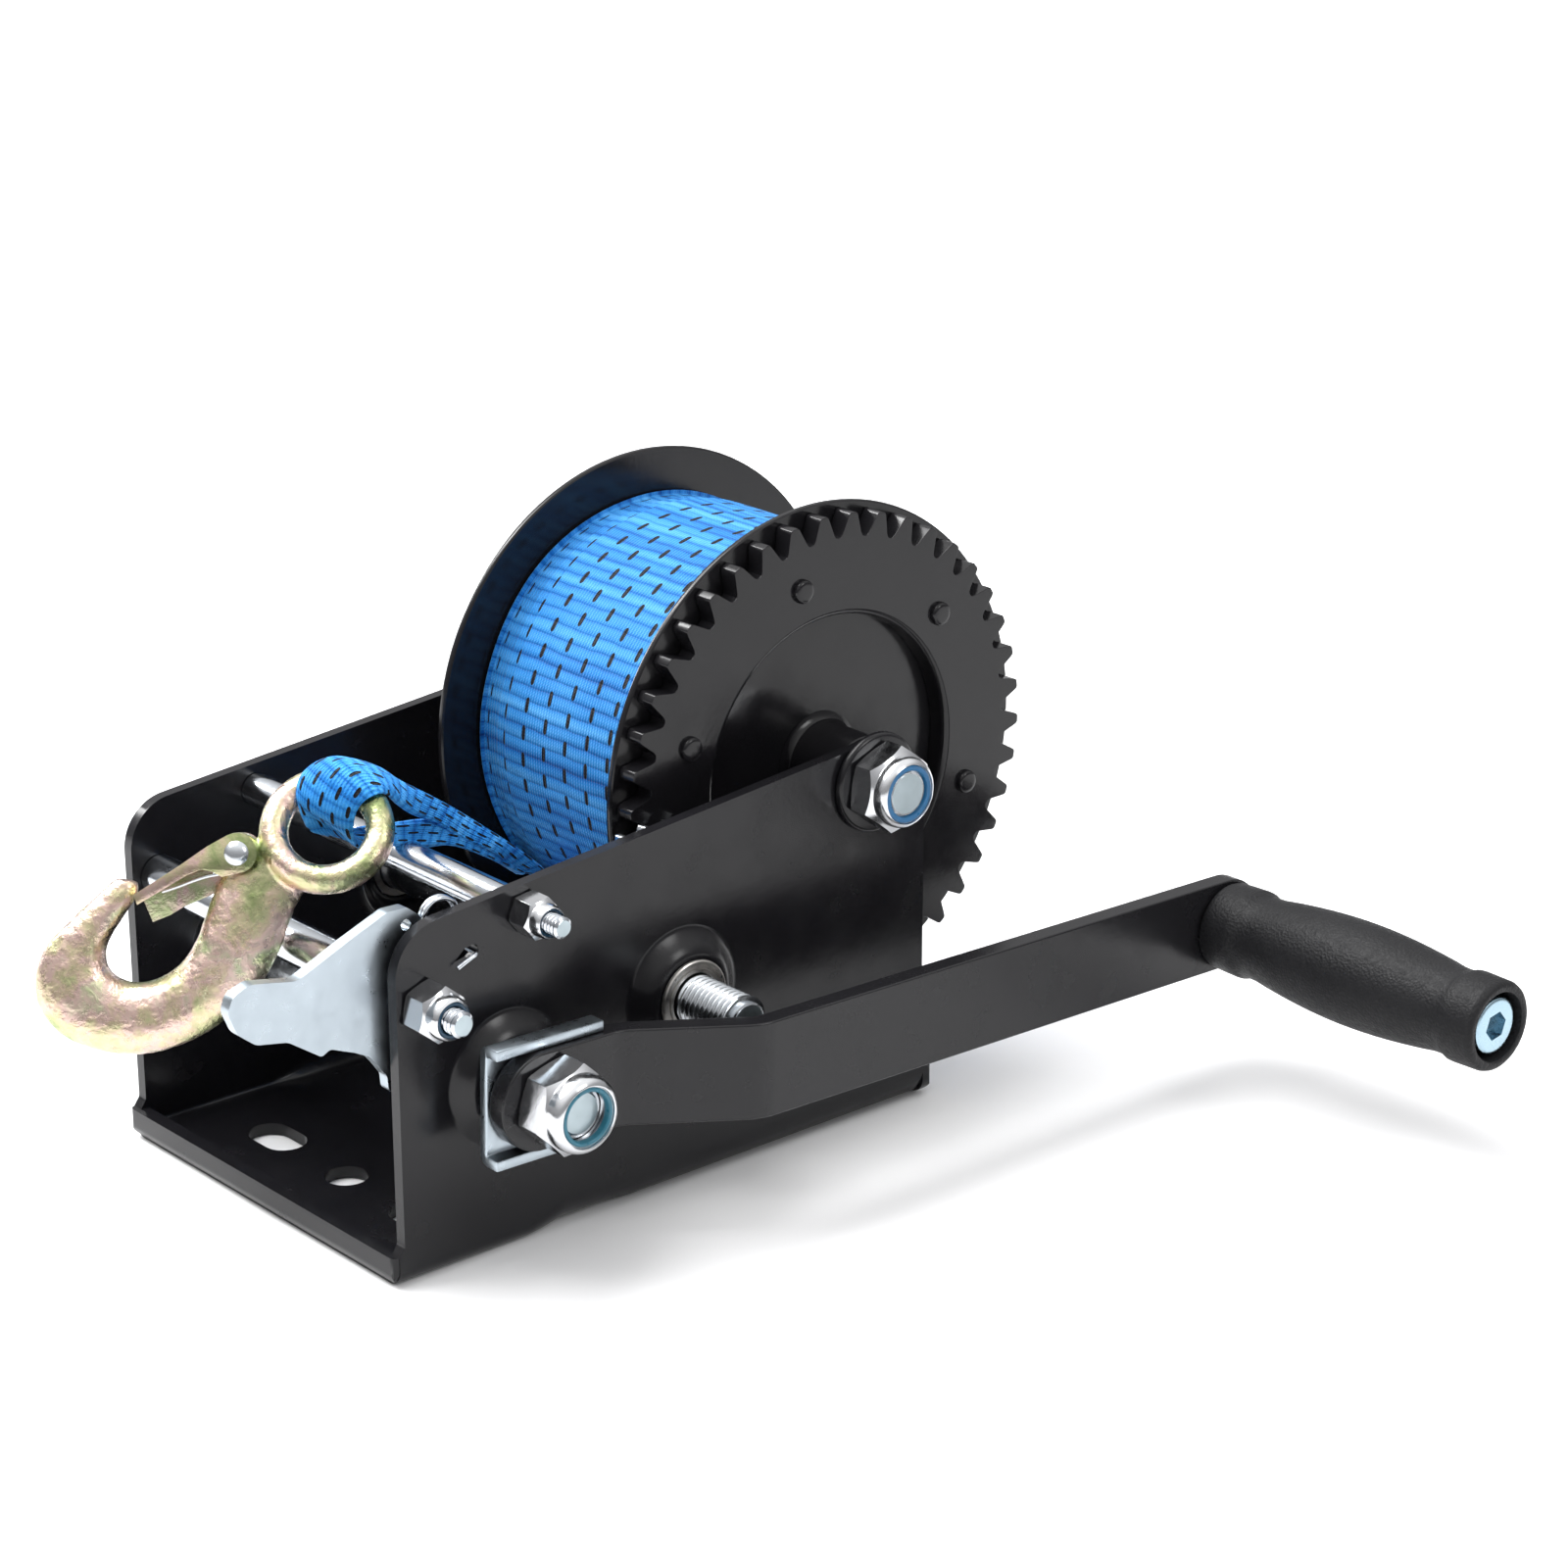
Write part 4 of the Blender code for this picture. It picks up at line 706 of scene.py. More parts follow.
# =================================================================== drum
def build_drum():
    bore = 8.5
    def flange(name, x0, node_name, inner):
        # thin disc with a small rolled bead round its edge
        x1 = x0 + 2.0
        prof = [(x0, bore), (x0, 58.0), (x0 + 0.05, 61.6), (x0 + 0.1, FLANGE_R - 0.5), (x0 + 0.45, FLANGE_R - 0.1),
                (x0 + 1.0, FLANGE_R), (x0 + 1.55, FLANGE_R - 0.1), (x1 - 0.1, FLANGE_R - 0.5), (x1 - 0.05, 61.6),
                (x1, 58.0), (x1, bore)]
        return done(turned(name, prof, 144, DRUM, BLACK_DRUM, True, 30), "drum", node_name, slot="black_paint")
    flange("flange_far_disc", -32.3, "drum_flange_far", 1)
    flange("flange_near_disc", 32.3, "drum_flange_near", -1)
    m = 2 * math.dist(COUNTER, DRUM) / 50
    to_pinion = math.atan2(COUNTER[1] - DRUM[1], COUNTER[0] - DRUM[0])
    # pressed teeth: narrow flat tips, swept flanks and round gullets
    rp, teeth = 42 * m / 2, 42
    rt, rr = rp + 0.95 * m, rp - 1.12 * m
    outline = []
    for k in range(teeth):
        c = to_pinion + 2 * math.pi * k / teeth
        half = [(rr + 0.15, 0.0625), (rr + 0.9, 0.0520), (rp - 0.9, 0.0425), (rp, 0.0360), (rp + 1.1, 0.0290), (rt - 0.75, 0.0235),
                (rt - 0.25, 0.0192), (rt, 0.0120)]
        tooth = [(r, -h) for r, h in half] + [(r, h) for r, h in reversed(half)]
        outline += [(r * math.cos(c + a), r * math.sin(c + a)) for r, a in tooth]
        g = c + math.pi / teeth
        outline.append((rr * math.cos(g), rr * math.sin(g)))
    bore_r = 36.6
    bm = prism_bm([shift(outline, DRUM), circle(bore_r, 128, DRUM)], 34.6, 39.6)
    bevel_sharp(bm, 0.28, 2, 55.0, lambda e: all(math.hypot(v.co.y / MM - DRUM[0], v.co.z / MM - DRUM[1]) > 50 for v in e.verts))
    bevel_sharp(bm, 1.9, 6, 60.0, lambda e: all(abs(math.hypot(v.co.y / MM - DRUM[0], v.co.z / MM - DRUM[1]) - bore_r) < 0.1
                                                and v.co.x > 0.039 for v in e.verts))
    done(even_faces(obj_from_bm("gear_disc", bm, BLACK_DRUM, 32)), "drum", "drum_gear", slot="black_paint")
    for k in range(6):
        a = math.radians(42 + 60 * k)
        c = (DRUM[0] + RIVET_PCR * math.cos(a), DRUM[1] + RIVET_PCR * math.sin(a))
        prof = [(39.5, 2.9), (40.3, 2.85), (40.75, 2.65), (40.95, 2.3), (41.0, 1.6)]
        done(turned("rivet_head_%d" % (k + 1), prof, 32, c, BLACK_DRUM), "drum", "gear_rivet_%d" % (k + 1), slot="black_paint")
    prof = [(34.4, bore), (50.2, bore), (50.4, bore + 0.3), (50.4, 9.6), (50.1, 9.9), (36.0, 9.9), (35.2, 10.4),
            (34.6, 11.4), (34.4, 12.2)]
    done(turned("hub_near_tube", prof, 56, DRUM, BLACK_DRUM, True), "drum", "drum_hub_near", slot="black_paint")
    prof = [(-32.4, bore), (-50.2, bore), (-50.4, bore + 0.3), (-50.4, 10.6), (-50.1, 11.0), (-34.4, 11.0), (-33.3, 11.5),
            (-32.6, 12.6), (-32.4, 13.4)]
    done(turned("hub_far_tube", prof, 56, DRUM, BLACK_DRUM, True), "drum", "drum_hub_far", slot="black_paint")


def build_roll():
    """Wound webbing: a ring round the drum whose top steps down near one edge, with the edges of the lower turns
    showing at both sides."""
    bm = bmesh.new()
    uvl = bm.loops.layers.uv.new("strap")
    seg, R = 220, 53.0
    x0, x1 = -29.2, 30.8
    turns = 22
    side = []
    # section across the strap: left side wall with layer ridges, top, right wall
    def layer_wall(x, sgn, up):
        pts = []
        for t in range(turns):
            r0 = 21.0 + (R - 21.0) * t / turns
            r1 = 21.0 + (R - 21.0) * (t + 1) / turns
            j = 0.28 * math.sin(t * 2.4) + 0.22 * math.sin(t * 5.1 + 1.0)
            pts += [(x + sgn * (-0.5 + j), r0 + 0.08), (x + sgn * (0.1 + j), r0 + 0.35),
                    (x + sgn * (0.1 + j), r1 - 0.35), (x + sgn * (-0.5 + j), r1 - 0.08)]
        return pts if up else list(reversed(pts))
    left = layer_wall(x0, -1, True)
    top = [(x0 + 0.4, R - 1.30), (x0 + 1.0, R - 1.15), (x0 + 5.4, R - 1.10), (x0 + 5.7, R - 0.80), (x0 + 6.1, R - 0.62),
           (x0 + 9.4, R - 0.58), (x0 + 9.7, R - 0.20), (x0 + 10.2, R + 0.02)]
    for k in range(5, 24):
        x = x0 + 60.0 * k / 24
        top.append((x, R + 0.05))
    top += [(x1 - 1.6, R + 0.02), (x1 - 0.6, R - 0.10)]
    right = layer_wall(x1, 1, False)
    sec = left + top + right
    rows = []
    for i in range(seg):
        a = 2 * math.pi * i / seg
        row = []
        for (x, r) in sec:
            wob = 0.0
            if r > R - 1.2:
                wob = 0.22 * math.sin(3 * a + 0.6) + 0.13 * math.sin(7 * a + x * 0.05) - 0.25
            row.append(bm.verts.new((x * MM, (DRUM[0] + (r + wob) * math.cos(a)) * MM, (DRUM[1] + (r + wob) * math.sin(a)) * MM)))
        rows.append(row)
    n = len(sec)
    for i in range(seg):
        j = (i + 1) % seg
        for k in range(n - 1):
            f = bm.faces.new((rows[i][k], rows[i][k + 1], rows[j][k + 1], rows[j][k]))
            for lp, (ii, kk) in zip(f.loops, ((i, k), (i, k + 1), (i + 1, k + 1), (i + 1, k))):
                x, r = sec[kk]
                lp[uvl].uv = (x - (x0 + x1) / 2, ii * 2 * math.pi * R / seg)
        f = bm.faces.new((rows[i][n - 1], rows[i][0], rows[j][0], rows[j][n - 1]))
    bmesh.ops.recalc_face_normals(bm, faces=bm.faces)
    me = bpy.data.meshes.new("webbing_roll")
    bm.to_mesh(me)
    bm.free()
    ob = bpy.data.objects.new("webbing_roll", me)
    bpy.context.scene.collection.objects.link(ob)
    me.materials.append(WEB)
    me.shade_smooth()
    me.set_sharp_from_angle(angle=math.radians(50))
    return done(ob, "drum", "strap_roll", slot="webbing")


# ==================================================================== nuts
def lock_nut(name, x0, height, af, bore, yz, body, node_name, turn=0.0, collar_r=None, face=1, mat=None, r_top=None):
    """Prevailing-torque nut: chamfered hexagon below, turned collar above.
    face=-1 mirrors it along X."""
    s = face
    rc = af / math.sqrt(3)
    hexh = height * 0.68
    bm = prism_bm([shift(circle(rc, 6, start=turn), yz)], *sorted((x0 - s * 0.02, x0 + s * (height + 0.5))))
    nut = obj_from_bm(name, bm, mat or ZINC_NUT, 0)
    r_in = af / 2
    cr = min(collar_r or r_in * 0.93, r_in - 0.12)
    top = x0 + s * height
    rt = r_top or cr * 0.80
    h = height - hexh
    prof = [(x0, 0.0), (x0, r_in * 0.955)]
    for k in range(7):
        t = k / 6
        prof.append((x0 + s * (0.05 + 1.1 * (rc - r_in) * 0.5 * t ** 1.0), r_in * 0.96 + (rc + 0.02 - r_in * 0.96) * t))
    for k in range(9):
        t = k / 8
        prof.append((x0 + s * (hexh - 1.15 * (rc - r_in * 0.93) * (1 - t) * 0.62), rc + 0.02 - (rc + 0.02 - cr - 0.06) * t))
    prof += [(x0 + s * (hexh + 0.25), cr), (x0 + s * (hexh + h * 0.30), cr - 0.02), (x0 + s * (hexh + h * 0.58), cr * 0.985),
             (x0 + s * (hexh + h * 0.80), cr * 0.945), (x0 + s * (hexh + h * 0.94), cr * 0.885), (top, (cr * 0.86 + rt) / 2),
             (top - s * 0.10, rt + 0.15), (top - s * 0.5, rt), (top - s * 0.5, 0.0)]
    bmc = lathe_into(bmesh.new(), prof, 96, yz)
    boolean(nut, obj_from_bm("c", bmc, None, 0), "INTERSECT")
    hole = [(x0 - s * 1, bore), (x0 + s * (height - 2.0), bore), (x0 + s * (height - 2.0), rt - 0.05), (top + s * 1, rt - 0.05)]
    bmc = lathe_into(bmesh.new(), [(hole[0][0], 0.0)] + hole + [(hole[-1][0], 0.0)], 64, yz)
    boolean(nut, obj_from_bm("c", bmc, None, 0))
    bm = bmesh.new()
    bm.from_mesh(nut.data)
    bmesh.ops.remove_doubles(bm, verts=bm.verts, dist=2e-6)
    # soften the six corners of the hexagon only
    def corner(e):
        d = (e.verts[0].co - e.verts[1].co)
        return abs(d.x) > 0.95 * d.length and d.length > 0.0015
    bevel_sharp(bm, 0.22, 2, 40.0, corner)
    bm.to_mesh(nut.data)
    bm.free()
    if len(nut.data.polygons) < 60:
        raise RuntimeError(name + " lost its faces")
    nut.data.shade_smooth()
    nut.data.set_sharp_from_angle(angle=math.radians(28))
    even_faces(nut)
    return done(nut, body, node_name, slot="zinc"), rt, top


def plain_nut(name, x0, height, af, bore, yz, body, node_name, turn=0.0):
    rc = af / math.sqrt(3)
    r_in = af / 2
    nut = obj_from_bm(name, prism_bm([shift(circle(rc, 6, start=turn), yz)], x0, x0 + height), ZINC_NUT, 0)
    prof = [(x0, 0.0), (x0, r_in * 0.95)]
    prof += [(x0 + 0.9 * k / 5 * (rc - r_in * 0.95) * 0.6, r_in * 0.95 + (rc + 0.02 - r_in * 0.95) * k / 5) for k in range(1, 6)]
    prof += [(x0 + height - 0.9 * k / 5 * (rc - r_in * 0.95) * 0.6, r_in * 0.95 + (rc + 0.02 - r_in * 0.95) * k / 5)
             for k in range(5, 0, -1)]
    prof += [(x0 + height, r_in * 0.95), (x0 + height, 0.0)]
    boolean(nut, obj_from_bm("c", lathe_into(bmesh.new(), prof, 72, yz), None, 0), "INTERSECT")
    bmc = lathe_into(bmesh.new(), [(x0 - 1, 0.0), (x0 - 1, bore), (x0 + height + 1, bore), (x0 + height + 1, 0.0)], 40, yz)
    boolean(nut, obj_from_bm("c", bmc, None, 0))
    nut.data.shade_smooth()
    nut.data.set_sharp_from_angle(angle=math.radians(28))
    return done(nut, body, node_name, slot="zinc")


def threaded(name, segments, yz, mat, pitch=1.25, depth=0.55, seg=40):
    """Turned bar whose threaded stretches are real helical ridges.
    segments: (x_start, x_end, radius, threaded)."""
    bm = bmesh.new()
    rows = []
    for x0, x1, r0, th in segments:
        if not th:
            rows.append((x0, r0, 0.0))
            rows.append((x1, r0, 0.0))
        else:
            steps = max(2, int(round((x1 - x0) / pitch * 8)))
            for k in range(steps + 1):
                x = x0 + (x1 - x0) * k / steps
                fade = min(1.0, (x - x0) / (pitch * 0.6) + 0.001, (x1 - x) / (pitch * 0.6) + 0.001)
                rows.append((x, r0, fade))
    rings = []
    for x, r, th in rows:
        ring = []
        for i in range(seg):
            a = 2 * math.pi * i / seg
            rr = r
            if th > 0:
                ph = (x / pitch + i / seg) % 1.0
                tri = 1.0 - abs(2.0 * ph - 1.0)
                rr = r - depth * th * (1.0 - min(1.0, max(0.0, tri * 1.25)))
            ring.append(bm.verts.new((x * MM, (yz[0] + rr * math.cos(a)) * MM, (yz[1] + rr * math.sin(a)) * MM)))
        rings.append(ring)
    for a, b in zip(rings, rings[1:]):
        for i in range(seg):
            j = (i + 1) % seg
            bm.faces.new((a[i], a[j], b[j], b[i]))
    bm.faces.new(rings[0])
    bm.faces.new(list(reversed(rings[-1])))
    ob = obj_from_bm(name, bm, mat, 48, True)
    # sawn end faces stay matt
    ob.data.materials.append(FROST)
    for f in ob.data.polygons:
        if len(f.vertices) > 20 and abs(f.normal.x) > 0.98:
            f.material_index = 1
    return ob


def build_axle():
    done(turned("axle_spacer_tube", [(-50.7, 6.3), (50.7, 6.3), (50.7, 8.0), (50.5, 8.2), (-50.5, 8.2), (-50.7, 8.0)], 40,
                DRUM, ZINC, True), "frame", "drum_axle_tube", slot="zinc")
    bar = threaded("axle_bolt_shank", [(-57.0, 52.0, 6.0, False), (52.0, 65.4, 6.0, True), (65.4, 65.9, 5.2, False),
                                       (65.9, 66.0, 4.8, False)], DRUM, ZINC, 1.75, 0.75)
    head = obj_from_bm("c", prism_bm([shift(circle(18.0 / math.sqrt(3), 6), DRUM)], -64.2, -56.6), None, 0)
    r_in = 9.0
    rc = 18.0 / math.sqrt(3)
    prof = [(-64.2, 0.0), (-64.2, 8.5), (-64.0, 9.0), (-63.3, rc + 0.02), (-56.6, rc + 0.02), (-56.6, 0.0)]
    boolean(head, obj_from_bm("c2", lathe_into(bmesh.new(), prof, 72, DRUM), None, 0), "INTERSECT")
    bm = bmesh.new()
    bm.from_mesh(bar.data)
    bm.from_mesh(head.data)
    drop(head)
    bm.to_mesh(bar.data)
    bm.free()
    bar.data.shade_smooth()
    bar.data.set_sharp_from_angle(angle=math.radians(40))
    done(bar, "frame", "drum_axle_bolt", slot="zinc")
    for tag, s in (("near", 1), ("far", -1)):
        x = s * (HALF_W + 0.3)
        prof = [(x, 6.3), (x, 12.0), (x + s * 0.15, 12.15), (x + s * 1.2, 12.1), (x + s * 1.65, 11.7), (x + s * 1.8, 11.2),
                (x + s * 1.8, 6.3)]
        done(turned("axle_washer_" + tag, prof, 64, DRUM, BLACK, True), "frame", "drum_washer_" + tag, slot="black_paint")
    _, rt, top = lock_nut("axle_lock_nut", 56.4, 10.4, 18.4, 6.2, DRUM, "frame", "drum_nut", turn=math.radians(22), r_top=7.1)
    lock_ring("axle_lock_ring", top, 5.6, rt, DRUM, "frame", "drum_nut_ring", RING_BLUE)


def lock_ring(name, top, r0, r1, yz, body, node_name, mat):
    prof = [(top - 2.0, r0), (top - 0.55, r0), (top - 0.3, r0 + 0.2), (top - 0.2, (r0 + r1) / 2), (top - 0.35, r1 - 0.22),
            (top - 0.6, r1 - 0.08), (top - 2.0, r1 - 0.08)]
    return done(turned(name, prof, 64, yz, mat, True), body, node_name, slot="nylon")


# ============================================================= gear train
def bushing(name, s, yz, node_name):
    xo = s * (HALF_W + BOSS_H + 0.3)
    prof = [(xo - s * 3.0, 6.3), (xo + s * 0.7, 6.3), (xo + s * 0.9, 6.55), (xo + s * 0.9, 7.25), (xo + s * 0.55, 7.4),
            (xo + s * 0.5, 8.1), (xo + s * 0.85, 8.25), (xo + s * 0.9, 9.0), (xo + s * 0.6, 9.35), (xo + s * 0.1, 9.4),
            (xo + s * 0.02, 9.2), (xo + s * 0.02, 8.1), (xo - s * 3.0, 8.1)]
    return done(turned(name, prof, 64, yz, BEARING, True, 30), "frame", node_name, slot="bushing")


def circlip(name, yz, body, node_name):
    x = -HALF_W - BOSS_H - 2.7
    prof = [(x, 5.6), (x + 1.2, 5.6), (x + 1.2, 8.8), (x + 1.0, 9.0), (x + 0.2, 9.0), (x, 8.8)]
    return done(turned(name, prof, 48, yz, ZINC, True), body, node_name, slot="zinc")


def build_train():
    m = 2 * math.dist(COUNTER, DRUM) / 50
    to_drum = math.atan2(DRUM[1] - COUNTER[1], DRUM[0] - COUNTER[0])
    done(plate("pinion_eight", [shift(round_poly(gear_outline(8, m, add=0.72, ded=1.12, thick=0.36, steps=5, phase=to_drum + math.pi / 8), 0.3, 2), COUNTER),
                                circle(6.05, 40, COUNTER)], 34.8, 39.9, ZINC, bevel=0.25), "counter", "counter_pinion", slot="zinc")
    m2 = 2 * math.dist(COUNTER, CRANK) / 50
    to_crank = math.atan2(CRANK[1] - COUNTER[1], CRANK[0] - COUNTER[0])
    light = [circle(5.5, 32, (COUNTER[0] + 22 * math.cos(a), COUNTER[1] + 22 * math.sin(a)))
             for a in (math.radians(30 + 60 * k) for k in range(6))]
    done(plate("train_gear", [shift(gear_outline(36, m2, add=0.9, ded=1.15, thick=0.42, steps=3, phase=to_crank + math.pi / 36), COUNTER),
                              circle(6.05, 40, COUNTER)] + light, 41.4, 45.8, ZINC, bevel=0.25), "counter", "counter_gear", slot="zinc")
    to_counter = math.atan2(COUNTER[1] - CRANK[1], COUNTER[0] - CRANK[0])
    done(plate("train_pinion", [shift(gear_outline(14, m2, add=0.9, ded=1.15, thick=0.42, steps=4, phase=to_counter), CRANK),
                                circle(6.05, 40, CRANK)], 41.4, 45.8, ZINC, bevel=0.25), "crank", "crank_pinion", slot="zinc")
    to_pawl = math.atan2(TIE_LOW[1] - CRANK[1], TIE_LOW[0] - CRANK[0])
    pts = []
    for k in range(8):
        a = to_pawl + 2 * math.pi * k / 8
        for d, r in ((-0.20, 11.0), (-0.10, 15.0), (0.10, 15.0), (0.20, 11.0)):
            pts.append((CRANK[0] + r * math.cos(a + d), CRANK[1] + r * math.sin(a + d)))
    done(plate("ratchet_star", [round_poly(pts, 0.5, 2), circle(6.05, 40, CRANK)], 46.2, 49.2, ZINC, bevel=0.25), "crank",
         "ratchet_wheel", slot="zinc")
    # shafts
    sh = threaded("counter_shaft_bar", [(-60.6, -60.4, 5.4, False), (-60.2, 59.6, 6.0, False), (59.8, 76.2, 6.1, True),
                                        (76.3, 77.3, 4.9, False), (77.5, 77.6, 4.4, False)], COUNTER, ZINC, 1.6, 0.85, 48)
    done(sh, "counter", "countershaft", slot="zinc")
    sh = threaded("crank_shaft_bar", [(-60.6, -60.4, 5.4, False), (-60.2, 62.0, 6.0, False), (62.2, 79.0, 6.0, True),
                                      (79.1, 79.9, 5.1, False), (80.0, 80.05, 4.7, False)], CRANK, ZINC, 1.5, 0.7, 48)
    done(sh, "crank", "crank_shaft", slot="zinc")
    bushing("bearing_crank_near", 1, CRANK, "crank_bushing_near")
    bushing("bearing_crank_far", -1, CRANK, "crank_bushing_far")
    bushing("bearing_counter_near", 1, COUNTER, "counter_bushing_near")
    bushing("bearing_counter_far", -1, COUNTER, "counter_bushing_far")
    circlip("retainer_counter", COUNTER, "counter", "counter_clip")
    circlip("retainer_crank", CRANK, "crank", "crank_clip")


# ================================================================== crank
def tilt_to_row(ob):
    """Arm pieces are made level with the crank axis at the origin of Y and Z,
    then tipped by the arm's drop and moved to the crank axis."""
    m = Matrix.Translation((0, CRANK[0] * MM, CRANK[1] * MM)) @ Matrix.Rotation(-ARM_DROP, 4, "X")
    ob.data.transform(m)
    return ob


def build_arm():
    prof = [(59.5, 6.3), (59.5, 9.8), (59.7, 10.1), (61.6, 10.1), (61.9, 9.8), (61.9, 6.3)]
    done(turned("arm_spacer_ring", prof, 56, CRANK, BLACK, True), "crank", "crank_spacer", slot="zinc")
    # folded channel
    h = ARM_W / 2 + 0.3 + 2.4
    y0, y1, x0, x1, t = -14.0, 15.6, 62.4, 68.6, 2.5
    sec = round_poly([(x0, -h), (x1, -h), (x1, -h + t), (x0 + t, -h + t), (x0 + t, h - t), (x1, h - t),
                      (x1, h), (x0, h)], [2.6, 0, 0, 0.4, 0.4, 0, 0, 2.6], 8)
    bm = prism_bm([sec], y0, y1, "Y")
    br = obj_from_bm("arm_channel", bm, ZINC_SHEET, 0)
    bmc = lathe_into(bmesh.new(), [(x0 - 1, 0.0), (x0 - 1, 6.2), (x0 + 6, 6.2), (x0 + 6, 0.0)], 48)
    boolean(br, obj_from_bm("c", bmc, None, 0))
    bm = bmesh.new()
    bm.from_mesh(br.data)
    bmesh.ops.remove_doubles(bm, verts=bm.verts, dist=1e-6)
    bmesh.ops.dissolve_limit(bm, angle_limit=math.radians(0.8), verts=bm.verts, edges=bm.edges)
    bevel_sharp(bm, 0.35, 2, 60.0)
    bm.to_mesh(br.data)
    bm.free()
    br.data.shade_smooth()
    br.data.set_sharp_from_angle(angle=math.radians(35))
    tilt_to_row(br)
    done(br, "crank", "arm_bracket", slot="zinc")
    # flat bar with a smooth double bend
    side = [(-20.0, ARM_X), (21.0, ARM_X), (48.0, ARM_X + ARM_JOG), (ARM_LEN + 20, ARM_X + ARM_JOG),
            (ARM_LEN + 20, ARM_X + ARM_JOG + ARM_T), (46.0, ARM_X + ARM_JOG + ARM_T),
            (19.0, ARM_X + ARM_T), (-20.0, ARM_X + ARM_T)]
    side = round_poly(side, [0, 14, 9, 0, 0, 14, 9, 0], 14)
    arm = obj_from_bm("arm_bar", prism_bm([[(x, y) for y, x in side]], -ARM_W / 2 - 3, ARM_W / 2 + 3, "Z"), BLACK_ARM, 0)
    r = ARM_W / 2
    n = 40
    face = [(ARM_LEN + r * math.sin(a), r * math.cos(a)) for a in (math.pi * i / n for i in range(n + 1))]
    face += [(-2.2 - r * math.sin(a), -r * math.cos(a)) for a in (math.pi * i / n for i in range(n + 1))]
    boolean(arm, obj_from_bm("c", prism_bm([face], 50, 100), None, 0), "INTERSECT")
    bmc = lathe_into(bmesh.new(), [(60, 0.0), (60, 6.3), (75, 6.3), (75, 0.0)], 48)
    boolean(arm, obj_from_bm("c", bmc, None, 0))
    bmc = lathe_into(bmesh.new(), [(78, 0.0), (78, 4.3), (95, 4.3), (95, 0.0)], 40, (ARM_LEN, 0))
    boolean(arm, obj_from_bm("c", bmc, None, 0))
    bm = bmesh.new()
    bm.from_mesh(arm.data)
    bmesh.ops.remove_doubles(bm, verts=bm.verts, dist=1e-6)
    bmesh.ops.dissolve_limit(bm, angle_limit=math.radians(0.5), verts=bm.verts, edges=bm.edges)
    bevel_sharp(bm, 0.5, 3, 60.0)
    bm.to_mesh(arm.data)
    bm.free()
    arm.data.shade_smooth()
    arm.data.set_sharp_from_angle(angle=math.radians(32))
    tilt_to_row(arm)
    done(even_faces(arm), "crank", "crank_arm", slot="black_paint")
    x0 = ARM_X + ARM_T + 0.3
    _, rt, top = lock_nut("arm_lock_nut", x0, 12.6, 18.6, 6.2, CRANK, "crank", "crank_nut", turn=math.radians(14), r_top=6.95, collar_r=9.0)
    lock_ring("arm_lock_ring", top, 5.75, rt, CRANK, "crank", "crank_nut_ring", RING_TEAL)
    # handle
    g = (CRANK[0] + ARM_LEN * math.cos(ARM_DROP), CRANK[1] - ARM_LEN * math.sin(ARM_DROP))
    xa, xb = GRIP_X0, GRIP_X1
    R = GRIP_R
    outer = [(xa, R - 1.2), (xa + 0.35, R - 0.3), (xa + 1.2, R), (xa + 8.0, R + 0.25), (xa + 9.3, R + 0.2), (xa + 10.4, R - 0.25),
             (xa + 12.0, R - 0.55), (xa + 15.0, R - 0.45)]
    mid = []
    for k in range(1, 16):
        t = k / 16
        mid.append((xa + 15 + (xb - xa - 30) * t, R - 0.45 + 2.25 * math.sin(math.pi * t) ** 0.9))
    outer += mid + [(xb - 15.0, R - 0.45), (xb - 12.0, R - 0.55), (xb - 10.4, R - 0.25), (xb - 9.3, R + 0.2), (xb - 8.0, R + 0.25),
                    (xb - 1.6, R + 0.1), (xb - 0.6, R - 0.25), (xb - 0.12, R - 0.8), (xb, R - 1.3), (xb, 8.9), (xb - 0.25, 8.5),
                    (xb - 0.8, 8.4), (xb - 7.0, 8.2), (xb - 7.2, 7.9), (xb - 7.2, 4.3), (xa, 4.3)]
    done(turned("grip_sleeve", outer, 96, g, GRIP, True, 38), "grip", "grip", slot="grip_rubber")
    # cap screw
    segs = turned("grip_screw", [(75.4, 3.2), (76.1, 3.9), (xb - 6.9, 4.0), (xb - 6.9, 6.8), (xb - 6.7, 6.95), (xb - 1.9, 6.95),
                                 (xb - 1.35, 6.75), (xb - 1.05, 6.3), (xb - 1.0, 5.9)], 56, g, ZINC_BLUE)
    hexs = shift(circle(6.2 / math.sqrt(3), 6, start=math.radians(10)), g)
    boolean(segs, obj_from_bm("c", prism_bm([hexs], xb - 4.6, xb + 1), None, 0))
    segs.data.shade_smooth()
    segs.data.set_sharp_from_angle(angle=math.radians(30))
    done(segs, "crank", "grip_bolt", slot="zinc")
    plain_nut("grip_hex_nut", ARM_X + ARM_JOG - 0.3 - 6.3, 6.3, 12.7, 4.1, g, "crank", "grip_nut", turn=0.13)


